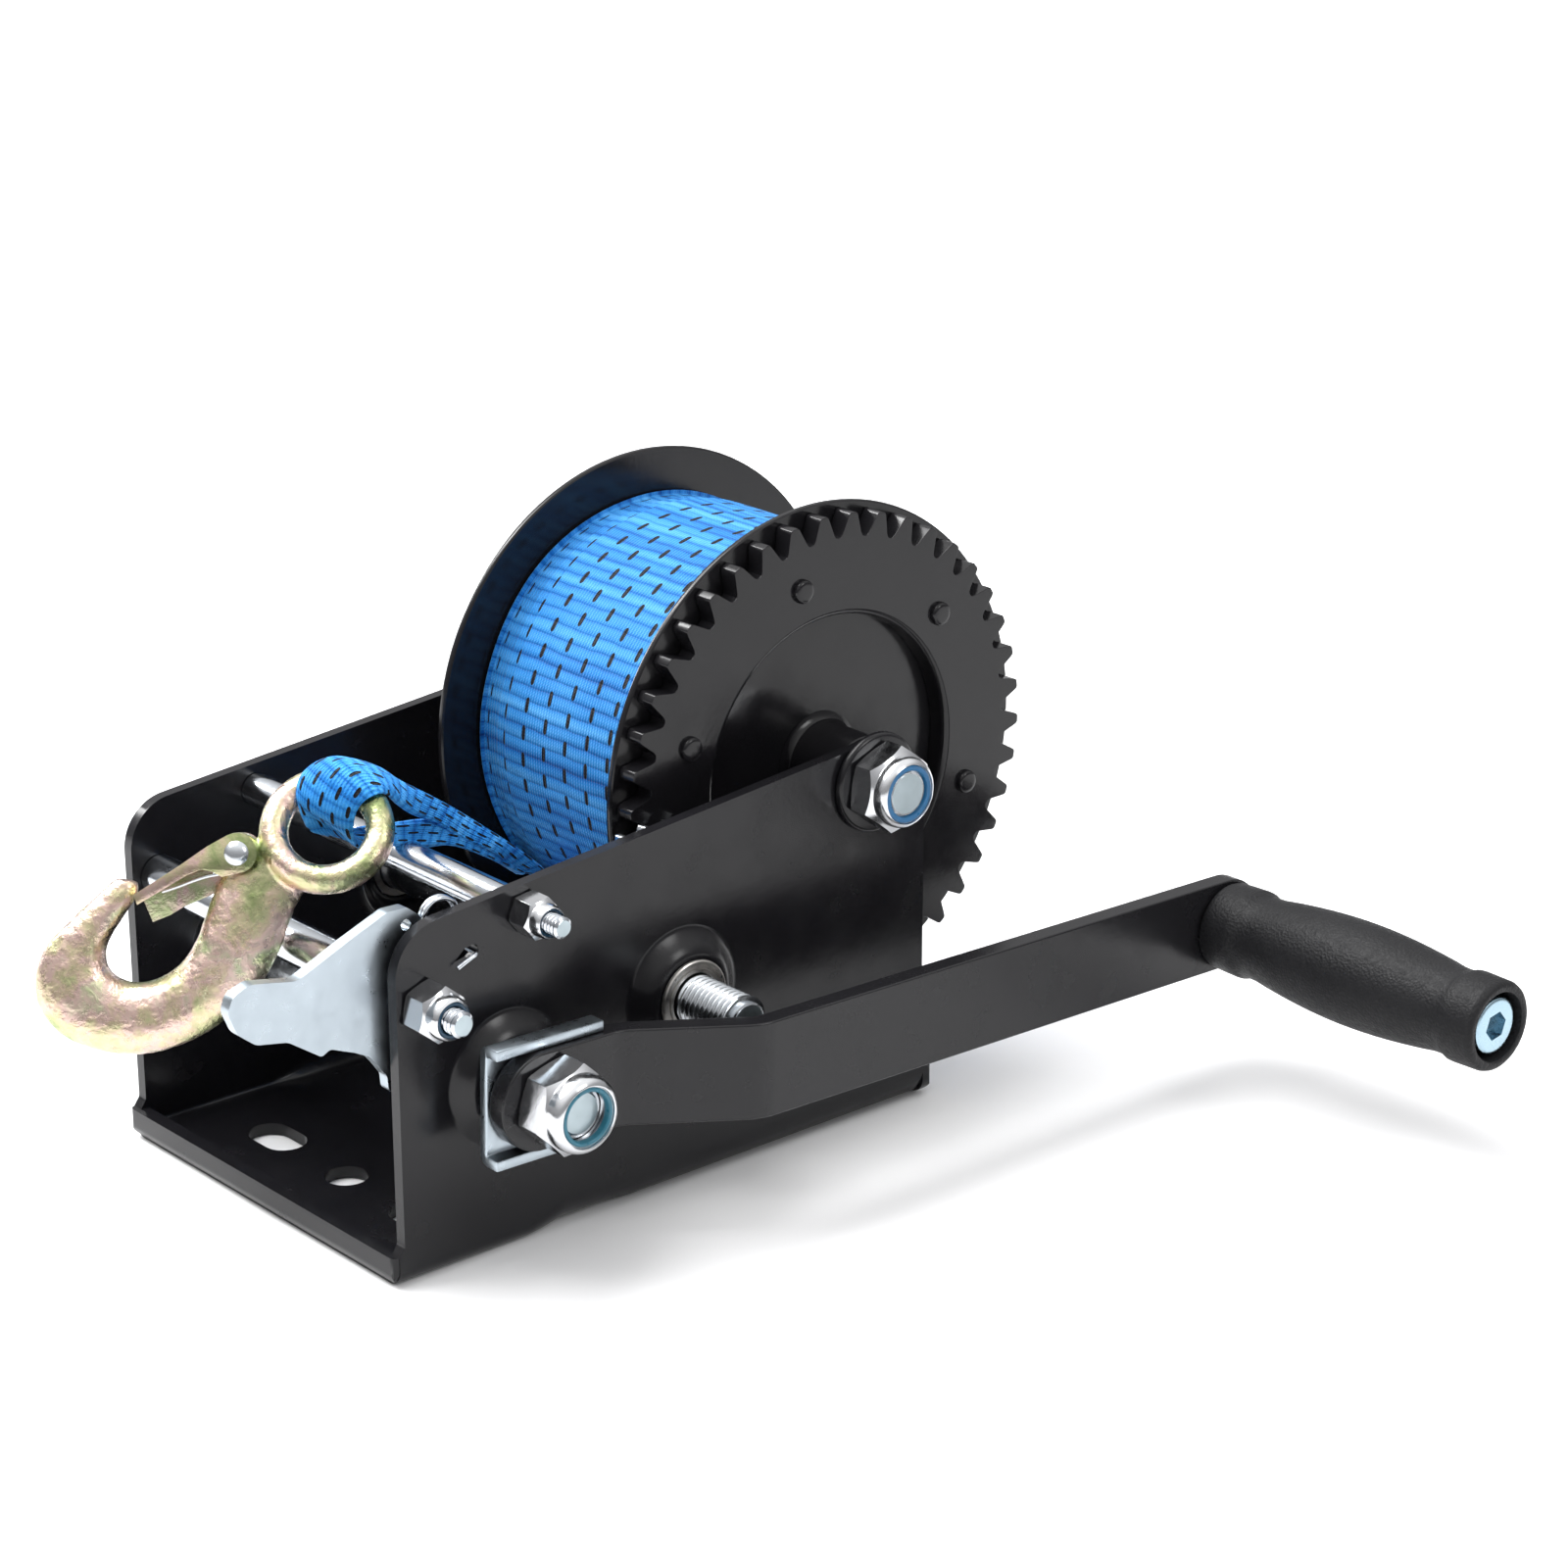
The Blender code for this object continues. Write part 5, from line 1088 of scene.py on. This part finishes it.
# ============================================================ ties and pawl
def build_ties():
    for tag, yz, r, t, af, h, x1, turn in (("upper", TIE_UP, 4.0, 2.5, 8.8, 9.4, 67.9, 8), ("lower", TIE_LOW, 5.0, 3.0, 11.4, 10.6, 68.4, 20)):
        bar = threaded("rod_" + tag, [(-58.6, -58.5, t - 0.5, False), (-58.1, -54.0, t, False), (-53.8, -50.8, t, False),
                                      (-50.7, 50.7, r, False), (50.8, 54.0, t, False), (54.2, x1 - 0.6, t, True),
                                      (x1 - 0.15, x1, t - 0.65, False)], yz, ZINC_ROD, 1.25 if tag == "lower" else 1.1, 0.5, 40)
        done(bar, "frame", "tie_rod_" + tag, slot="zinc")
        _, rt, top = lock_nut("rod_nut_%s" % tag, HALF_W + 0.3, h, af, t + 0.15, yz, "frame", "tie_nut_%s_near" % tag,
                              turn=math.radians(turn), collar_r=af / 2 * 0.9, r_top=t + (0.85 if tag == "upper" else 1.25))
        lock_ring("rod_ring_%s" % tag, top, t + 0.12, rt, yz, "frame", "tie_ring_%s_near" % tag, RING_DARK)
        plain_nut("rod_nut_far_%s" % tag, -HALF_W - 0.3 - 3.4, 3.4, 8.2 if tag == "upper" else 9.2, t + 0.15, yz, "frame", "tie_nut_%s_far" % tag, turn=0.21)


def build_pawl():
    pts = [(-46.6, 9.6), (-45.2, 13.0), (-40.5, 14.6), (-29.0, 12.2), (-16.0, 17.6), (-5.2, 21.7), (-0.2, 21.5),
           (3.2, 18.8), (5.4, 12.6), (10.0, 5.0), (16.2, -2.4), (19.4, -6.5), (18.15, -7.9), (13.6, -5.6),
           (6.6, -6.9), (4.6, -14.4), (7.0, -18.5), (5.6, -19.7), (3.4, -21.8), (0.6, -24.3), (-3.2, -21.5),
           (-6.6, -19.8), (-6.9, -16.2), (-9.4, -12.7), (-11.4, -10.2), (-15.2, -8.2), (-21.4, -5.6),
           (-23.6, -6.8), (-32.0, -1.0), (-40.0, 0.6), (-44.4, 4.2)]
    loop = round_poly(pts, [3, 3, 4, 5, 6, 3, 2, 2, 5, 8, 2, 0.4, 0.4, 4, 3, 4, 0.4, 0.4, 3, 1, 1.5, 2, 2, 2, 2, 3, 2, 1.2,
                            5, 4, 4], 6)
    done(plate("pawl_plate", [shift(loop, TIE_LOW), circle(5.2, 40, TIE_LOW), circle(1.3, 24, (TIE_LOW[0] - 0.6, TIE_LOW[1] + 17.6))],
               46.2, 49.2, ZINC_SHEET, bevel=0.3, segments=2), "pawl", "pawl_lever", slot="zinc")
    c = (-62.6, 82.3)
    pts = []
    for i in range(50):
        a = math.radians(-38 + 360 * i / 24)
        pts.append((50.05 - 1.15 * i / 24, c[0] + 4.4 * math.cos(a), c[1] + 4.4 * math.sin(a)))
    pts = list(reversed(pts))
    tail = [(50.1, -59.9, 76.9), (50.2, -58.6, 75.4), (50.8, -57.4, 74.6), (52.2, -57.0, 74.2), (54.2, -56.9, 74.0),
            (55.0, -57.4, 73.8), (55.2, -58.6, 73.5), (55.2, -62.4, 71.9)]
    wire = tube_mesh("toggle_wire", spline_pts(pts + tail, 3), 0.55, ZINC_ROD, 12)
    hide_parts("pawl_spring")
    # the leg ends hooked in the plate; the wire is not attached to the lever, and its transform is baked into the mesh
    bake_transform(wire)


# =================================================================== hook
def hook_axes():
    ca, sa, ce, se = math.cos(HOOK_AZ), math.sin(HOOK_AZ), math.cos(HOOK_EL), math.sin(HOOK_EL)
    u = Vector((ca, sa, 0))
    n = Vector((sa * ce, -ca * ce, se))
    return u, n.cross(u), n


U, V, N = hook_axes()


def hp(x, y, z=0.0):
    """Point of the hook's own plane, in row millimetres."""
    return EYE + U * x + V * y + N * z


PIVOT = (-19.4, -5.4)


def build_hook():
    st = [((-1.5, -11.4), (-9.0, -5.6), 3.5), ((-5.4, -14.6), (-15.0, -3.9), 4.1), ((-8.2, -20.4), (-20.6, -6.6), 4.3),
          ((-10.6, -27.4), (-24.4, -12.4), 4.8), ((-15.2, -35.2), (-27.0, -19.4), 5.5), ((-22.4, -42.4), (-29.6, -26.0), 6.0),
          ((-30.6, -47.4), (-33.4, -30.8), 6.2), ((-39.2, -50.0), (-39.0, -33.8), 6.3), ((-48.6, -49.9), (-44.6, -33.8), 6.3),
          ((-57.4, -46.9), (-48.2, -31.4), 6.2), ((-63.2, -41.4), (-49.3, -28.0), 6.0), ((-65.1, -34.0), (-48.4, -24.6), 5.6),
          ((-62.9, -26.8), (-46.0, -20.6), 5.0), ((-58.0, -21.2), (-43.9, -17.6), 4.3), ((-52.0, -15.6), (-42.1, -14.6), 3.5),
          ((-46.9, -11.0), (-42.0, -11.8), 2.6)]
    outer = spline_pts([(*a, 0) for a, b, t in st], 4)
    inner = spline_pts([(*b, 0) for a, b, t in st], 4)
    th = [q.x for q in spline_pts([(t, 0, 0) for a, b, t in st], 4)]
    bm = bmesh.new()
    rows = []
    sides = 24
    for o, i, t in zip(outer, inner, th):
        c = (o + i) / 2
        h = (o - i) / 2
        row = []
        for k in range(sides):
            a = 2 * math.pi * k / sides
            ca, sa = math.cos(a), math.sin(a)
            # superellipse section, the same on both sides
            e = 0.88
            x = math.copysign(abs(ca) ** e, ca)
            z = math.copysign(abs(sa) ** e, sa)
            p = c + h * x
            row.append(bm.verts.new(hp(p.x, p.y, z * t) * MM))
        rows.append(row)
    for a, b in zip(rows, rows[1:]):
        for k in range(sides):
            j = (k + 1) % sides
            bm.faces.new((a[k], a[j], b[j], b[k]))
    bm.faces.new(rows[0])
    bm.faces.new(list(reversed(rows[-1])))
    bmesh.ops.recalc_face_normals(bm, faces=bm.faces)
    hook = obj_from_bm("hook_forging", bm, CHROMATE, 0)
    # eye: a ring tipped back a little against the shank
    eye = bmesh.new()
    seg, tub = 72, 20
    R, r = 11.9, 3.35
    tip = math.radians(-24)
    rr = []
    for i in range(seg):
        a = 2 * math.pi * i / seg
        row = []
        for k in range(tub):
            b = 2 * math.pi * k / tub
            x, y, z = (R + r * math.cos(b)) * math.cos(a), (R + r * math.cos(b)) * math.sin(a), r * 1.08 * math.sin(b)
            y2 = y * math.cos(tip) - z * math.sin(tip)
            z2 = y * math.sin(tip) + z * math.cos(tip)
            row.append(eye.verts.new(hp(x, y2 - 0.4, z2) * MM))
        rr.append(row)
    for i in range(seg):
        for k in range(tub):
            a, b = rr[i], rr[(i + 1) % seg]
            eye.faces.new((a[k], a[(k + 1) % tub], b[(k + 1) % tub], b[k]))
    boolean(hook, obj_from_bm("c", eye, None, 0), "UNION")
    # lug that carries the latch rivet
    lug = bmesh.new()
    base = circle(4.6, 40, PIVOT)
    lo = [lug.verts.new(hp(x, y, -3.4) * MM) for x, y in base]
    hi = [lug.verts.new(hp(x, y, 3.4) * MM) for x, y in base]
    for k in range(40):
        j = (k + 1) % 40
        lug.faces.new((lo[k], lo[j], hi[j], hi[k]))
    lug.faces.new(list(reversed(lo)))
    lug.faces.new(hi)
    boolean(hook, obj_from_bm("c", lug, None, 0), "UNION")
    rm = hook.modifiers.new("r", "REMESH")
    rm.mode = "VOXEL"
    rm.voxel_size = 0.0005
    evaluated(hook)
    sm = hook.modifiers.new("s", "SMOOTH")
    sm.factor = 0.5
    sm.iterations = 14
    evaluated(hook)
    # the uneven skin of a drop forging
    normals = [v.normal.copy() for v in hook.data.vertices]
    for v, nv in zip(hook.data.vertices, normals):
        f = mnoise.noise(v.co * 300.0) * 0.13 + mnoise.noise(v.co * 900.0) * 0.05
        v.co += nv * (f * MM)
    hook.data.materials.clear()
    hook.data.materials.append(CHROMATE)
    hook.data.shade_smooth()
    done(hook, "hook", "hook", slot="chromate")

    # latch: a folded sheet channel; both cheeks, a web along its outer edge
    d = (Vector((-41.6, -16.6)) - Vector(PIVOT)).normalized()
    w = Vector((-d.y, d.x))
    L = 24.6
    def at(a, b):
        q = Vector(PIVOT) + d * a + w * b
        return (q.x, q.y)
    ear = [at(4.5 * math.cos(a), 4.5 * math.sin(a)) for a in (math.pi / 2 + math.pi * i / 16 for i in range(17))]
    near = ear + [at(5.0, -4.3), at(12.0, -3.3), at(L, -2.0), at(L + 0.1, 0.3), at(18.0, -0.2), at(12.0, -0.6), at(8.6, -0.3),
                  at(6.8, 1.0), at(5.2, 3.2)]
    far = ear + [at(5.0, -4.3), at(12.0, -3.3), at(L, -2.0), at(L + 0.4, 4.8), at(21.0, 5.2), at(17.0, 4.9), at(9.0, 5.4),
                 at(5.0, 5.2)]
    bm = bmesh.new()
    def slab(loop, z0, z1):
        lo = [bm.verts.new(hp(x, y, z0) * MM) for x, y in loop]
        hi = [bm.verts.new(hp(x, y, z1) * MM) for x, y in loop]
        m = len(loop)
        for k in range(m):
            j = (k + 1) % m
            bm.faces.new((lo[k], lo[j], hi[j], hi[k]))
        f1 = bm.faces.new(list(reversed(lo)))
        f2 = bm.faces.new(hi)
        bmesh.ops.triangulate(bm, faces=[f1, f2])
    slab(near, 4.85, 5.75)
    bmesh.ops.recalc_face_normals(bm, faces=bm.faces)
    one = obj_from_bm("latch_sheet", bm, CHROMATE_SHEET, 0)
    bm = bmesh.new()
    slab(far, -5.75, -4.85)
    boolean(one, obj_from_bm("c", bm, None, 0), "UNION")
    bm = bmesh.new()
    web = [at(6.5, -4.15), at(12.0, -3.35), at(L, -2.05), at(L, -1.15), at(12.0, -2.4), at(6.5, -3.2)]
    slab(web, -5.3, 5.3)
    boolean(one, obj_from_bm("c", bm, None, 0), "UNION")
    bm = bmesh.new()
    bm.from_mesh(one.data)
    bmesh.ops.remove_doubles(bm, verts=bm.verts, dist=1e-6)
    bmesh.ops.dissolve_limit(bm, angle_limit=math.radians(1), verts=bm.verts, edges=bm.edges)
    bevel_sharp(bm, 0.22, 2, 50.0)
    bm.to_mesh(one.data)
    bm.free()
    one.data.shade_smooth()
    one.data.set_sharp_from_angle(angle=math.radians(35))
    done(one, "latch", "hook_latch", slot="chromate")
    # rivet with two domed heads
    bm = bmesh.new()
    prof = [(-6.9, 0.0), (-6.85, 1.3), (-6.5, 2.2), (-5.9, 2.75), (-5.8, 2.75), (-5.8, 1.6), (5.8, 1.6), (5.8, 2.75), (5.9, 2.75),
            (6.5, 2.2), (6.85, 1.3), (6.9, 0.0)]
    rows = []
    for z, r in prof:
        rows.append([bm.verts.new(hp(PIVOT[0] + r * math.cos(2 * math.pi * k / 32), PIVOT[1] + r * math.sin(2 * math.pi * k / 32), z) * MM)
                     for k in range(32 if r > 0 else 1)])
    for a, b in zip(rows, rows[1:]):
        for k in range(32):
            j = (k + 1) % 32
            if len(a) == 1:
                bm.faces.new((a[0], b[k], b[j]))
            elif len(b) == 1:
                bm.faces.new((a[j], a[k], b[0]))
            else:
                bm.faces.new((a[k], b[k], b[j], a[j]))
    done(obj_from_bm("latch_rivet", bm, ZINC, 40), "hook", "latch_pin", slot="zinc")
    pts = [hp(*at(4.6, 2.6), 4.3), hp(*at(8.0, 1.6), 3.9), hp(*at(11.5, 1.0), 3.2), hp(*at(15.0, 0.6), 2.4), hp(*at(19.0, 0.0), 1.6)]
    done(tube_mesh("latch_wire", spline_pts(pts, 5), 0.5, ZINC_ROD, 10), "latch", "latch_spring", slot="zinc")


# ============================================================== strap tail
def band(name, rows, mat, cols=20, n=6):
    """Gathered webbing through rows (left edge, middle, right edge, thickness,
    share of the strap's width that shows), the dashes at their true spacing."""
    A, M, B = (spline_pts([r[k] for r in rows], n) for k in range(3))
    S = spline_pts([(r[3], r[4], 0) for r in rows], n)
    bm = bmesh.new()
    uvl = bm.loops.layers.uv.new("strap")
    m = len(A)
    grid = []
    for i in range(m):
        line = []
        for k in range(cols + 1):
            f = k / cols * 2 - 1
            line.append(M[i] + (B[i] - A[i]) * (f / 2) + ((A[i] + B[i]) / 2 - M[i]) * (f * f))
        grid.append(line)
    run = [0.0]
    for i in range(1, m):
        run.append(run[-1] + (M[i] - M[i - 1]).length)
    top, bot, uvs = [], [], []
    for i in range(m):
        a_t, a_b, row = [], [], []
        for k in range(cols + 1):
            t = grid[min(i + 1, m - 1)][k] - grid[max(i - 1, 0)][k]
            w = grid[i][min(k + 1, cols)] - grid[i][max(k - 1, 0)]
            nn = w.cross(t).normalized()
            f = abs(k / cols * 2 - 1)
            half = S[i].x / 2 * math.sqrt(max(0.06, 1 - max(0.0, f - 0.82) / 0.18))
            # soft lengthwise creases where the strap is squeezed together
            half += 0.10 * math.sin(k * 1.9 + run[i] * 0.05) * (1 - f)
            a_t.append(bm.verts.new((grid[i][k] + nn * half) * MM))
            a_b.append(bm.verts.new((grid[i][k] - nn * half) * MM))
            row.append(((k / cols * 2 - 1) * S[i].y, run[i]))
        top.append(a_t)
        bot.append(a_b)
        uvs.append(row)
    def quad(vs, uv):
        f = bm.faces.new(vs)
        for lp, q in zip(f.loops, uv):
            lp[uvl].uv = q
    for i in range(m - 1):
        for k in range(cols):
            uv = [uvs[i][k], uvs[i][k + 1], uvs[i + 1][k + 1], uvs[i + 1][k]]
            quad((top[i][k], top[i][k + 1], top[i + 1][k + 1], top[i + 1][k]), uv)
            quad((bot[i + 1][k], bot[i + 1][k + 1], bot[i][k + 1], bot[i][k]), [uv[3], uv[2], uv[1], uv[0]])
        for k in (0, cols):
            uv = [uvs[i][k]] * 2 + [uvs[i + 1][k]] * 2
            q = (top[i][k], bot[i][k], bot[i + 1][k], top[i + 1][k])
            quad(q if k else tuple(reversed(q)), uv)
    for i in (0, m - 1):
        for k in range(cols):
            q = (top[i][k], bot[i][k], bot[i][k + 1], top[i][k + 1])
            quad(q if i == 0 else tuple(reversed(q)), [uvs[i][k], uvs[i][k], uvs[i][k + 1], uvs[i][k + 1]])
    bmesh.ops.recalc_face_normals(bm, faces=bm.faces)
    return obj_from_bm(name, bm, mat, 0, False)


def build_tail():
    cy, cz = DRUM
    # the hook's plane is met square on, so depth behind it widens a little
    look = Vector((101.5, 10.7, 871.7))
    def at(u, v, n):
        k = (look.z - n) / look.z
        return hp(look.x + (u - look.x) * k, look.y + (v - look.y) * k, n)
    def across(y, z, w, th, x=0.8):
        return (Vector((x - w / 2, y, z)), Vector((x, y, z)), Vector((x + w / 2, y, z)), th, min(29.0, w / 2))
    def on_roll(deg, w):
        a = math.radians(deg)
        return across(cy + 56.2 * math.cos(a), cz + 56.2 * math.sin(a), w, 2.0)
    st = [on_roll(-96, 57.0), on_roll(-104, 57.0), on_roll(-113, 56.5), on_roll(-121, 55.0), across(23.5, 43.6, 46.0, 2.0), across(13.0, 52.6, 32.0, 2.3)]
    edge = [((47.9, -8.6, -56), None, (44.7, -9.9, -52), 2.6), ((38.9, -2.6, -43), None, (36.3, -5.1, -38), 2.6),
            ((32.5, 1.6, -35), None, (29.9, -2.6, -30), 2.6), ((26, 5.4, -27), None, (23.5, 1.3, -21), 2.6),
            ((21, 8, -20), None, (19, 3.2, -14), 2.5), ((15.8, 9.9, -15), (16.3, 8.3, -11), (15.8, 5.4, -8), 2.4),
            ((10.7, 12.8, -12), (12.8, 11.4, -7.5), (14, 7.3, -3.5), 2.2), ((5.5, 14.7, -9.5), (8.3, 13.2, -4.2), (12.4, 8, 0.6), 1.9),
            ((1.1, 15.4, -7), (4.2, 13.6, -1.6), (10.4, 7.4, 2), 1.7), ((-3, 14.4, -3.5), (1.2, 11.2, 0.6), (8.2, 6, 1.6), 1.7),
            ((-6, 11.6, -1), (-0.8, 7.6, 0.6), (6.7, 4, 0.2), 1.7), ((-6.9, 8.2, 0.2), (-1.5, 4.4, -0.6), (6, 1.4, -1.6), 1.7),
            ((-6.4, 5, -0.8), (-0.6, 2.4, -3.2), (5.9, -1.2, -3.6), 1.7), ((-5.2, 1.8, -2.6), (0.8, 1.4, -5.8), (6.2, -3.2, -5.6), 1.7),
            ((-3.6, -0.6, -5.5), (2.4, -0.6, -8), (7, -4, -7.6), 1.7), ((0.5, -0.8, -9), (5, -1.8, -10), (9, -4.6, -9.4), 1.9),
            ((8, 0.6, -12), (9.5, -1.8, -11.8), (12, -4.8, -10.8), 2.1), ((15, 1.4, -14.5), (15, -1.2, -14.5), (15.5, -3.8, -14), 2.4),
            ((22.5, 2, -21.5), (21.5, -1, -21), (21, -4.2, -19), 2.6), ((29.5, -0.4, -31), None, (28, -3.8, -28), 2.6),
            ((36.3, -4.2, -41), None, (35, -6.2, -38), 2.6), ((44, -8.8, -54), None, (43, -10.2, -50), 2.6)]
    for a, mid, b, th in edge:
        a, b = at(*a), at(*b)
        c = at(*mid) if mid else (a + b) / 2 + N * 0.8
        st.append((a, c, b, th, max(5.5, (b - a).length * 0.62)))
    main = band("webbing_tail", st, WEB_TAIL)
    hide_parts("strap_tail")
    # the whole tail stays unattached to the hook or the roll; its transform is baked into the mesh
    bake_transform(main)


build_frame()
build_drum()
build_roll()
build_axle()
build_train()
build_arm()
build_ties()
build_pawl()
build_hook()
build_tail()

# CAD nodes that stay in view keep their shape and take a finished material
for name, mat in (("drum_core", BLACK_DRUM),):
    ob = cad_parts[name]
    ob.data.materials.clear()
    ob.data.materials.append(mat)
    ob.data.shade_smooth()


# ================================================================== stage
def build_stage():
    mat, nt, bs = new_mat("floor_pale")
    bs.inputs["Base Color"].default_value = (0.86, 0.86, 0.865, 1)
    v = coords(nt)
    nt.links.new(remap(nt, noise(nt, v, 4.0, 2.0), 0.55, 0.62, 0.3, 0.7), bs.inputs["Roughness"])
    bs.inputs["Specular IOR Level"].default_value = 0.15
    bm = bmesh.new()
    s = 6.0
    vs = [bm.verts.new(p) for p in ((-s, -s, 0), (s, -s, 0), (s, s, 0), (-s, s, 0))]
    bm.faces.new(vs)
    floor = obj_from_bm("floor", bm, mat, 0, False)
    floor.location.z = -0.0002

    world = bpy.data.worlds.new("studio")
    bpy.context.scene.world = world
    world.use_nodes = True
    bg = world.node_tree.nodes["Background"]
    # a broad overhead softbox: bright above, falling off to the horizon
    wn = world.node_tree
    tc = wn.nodes.new("ShaderNodeTexCoord")
    sx = wn.nodes.new("ShaderNodeSeparateXYZ")
    wn.links.new(tc.outputs["Generated"], sx.inputs[0])
    rp = wn.nodes.new("ShaderNodeValToRGB")
    rp.color_ramp.interpolation = "EASE"
    e = rp.color_ramp.elements
    e[0].position, e[0].color = 0.0, (0.20, 0.20, 0.205, 1)
    e[1].position, e[1].color = 0.85, (1.0, 1.0, 1.0, 1)
    m = e.new(0.25)
    m.color = (0.34, 0.34, 0.345, 1)
    wn.links.new(sx.outputs["Z"], rp.inputs["Fac"])
    wn.links.new(rp.outputs["Color"], bg.inputs["Color"])
    bg.inputs["Strength"].default_value = 1.35

    def area(name, loc, target, size, power, size_y=None, col=(1, 1, 1)):
        li = bpy.data.lights.new(name, "AREA")
        li.energy = power
        li.size = size
        if size_y:
            li.shape = "RECTANGLE"
            li.size_y = size_y
        li.color = col
        ob = bpy.data.objects.new(name, li)
        bpy.context.scene.collection.objects.link(ob)
        ob.location = loc
        ob.rotation_euler = (Vector(target) - Vector(loc)).to_track_quat("-Z", "Y").to_euler()
        return ob
    c = (0.03, 0.02, 0.06)
    area("key_top", (-0.45, -0.30, 1.35), c, 1.2, 30.0, 1.0)
    area("strip_left", (-0.95, -0.33, 0.72), c, 0.16, 9.0, 0.9)
    area("fill_right", (1.2, 0.45, 0.95), c, 0.4, 5.0, 0.6)


def build_camera():
    cam = bpy.data.cameras.new("camera")
    ob = bpy.data.objects.new("camera", cam)
    bpy.context.scene.collection.objects.link(ob)
    a, e = math.radians(48.90), math.radians(19.74)
    d = Vector((math.sin(a) * math.cos(e), -math.cos(a) * math.cos(e), math.sin(e)))
    ob.location = (0.6924, -0.5245, 0.3957)
    ob.rotation_euler = d.to_track_quat("Z", "Y").to_euler()
    cam.sensor_width = 36.0
    cam.lens = 3994.5 / 1600 * 36.0
    cam.clip_start = 0.01
    cam.clip_end = 30
    bpy.context.scene.camera = ob


build_stage()
build_camera()
bpy.context.scene.view_settings.view_transform = "Standard"
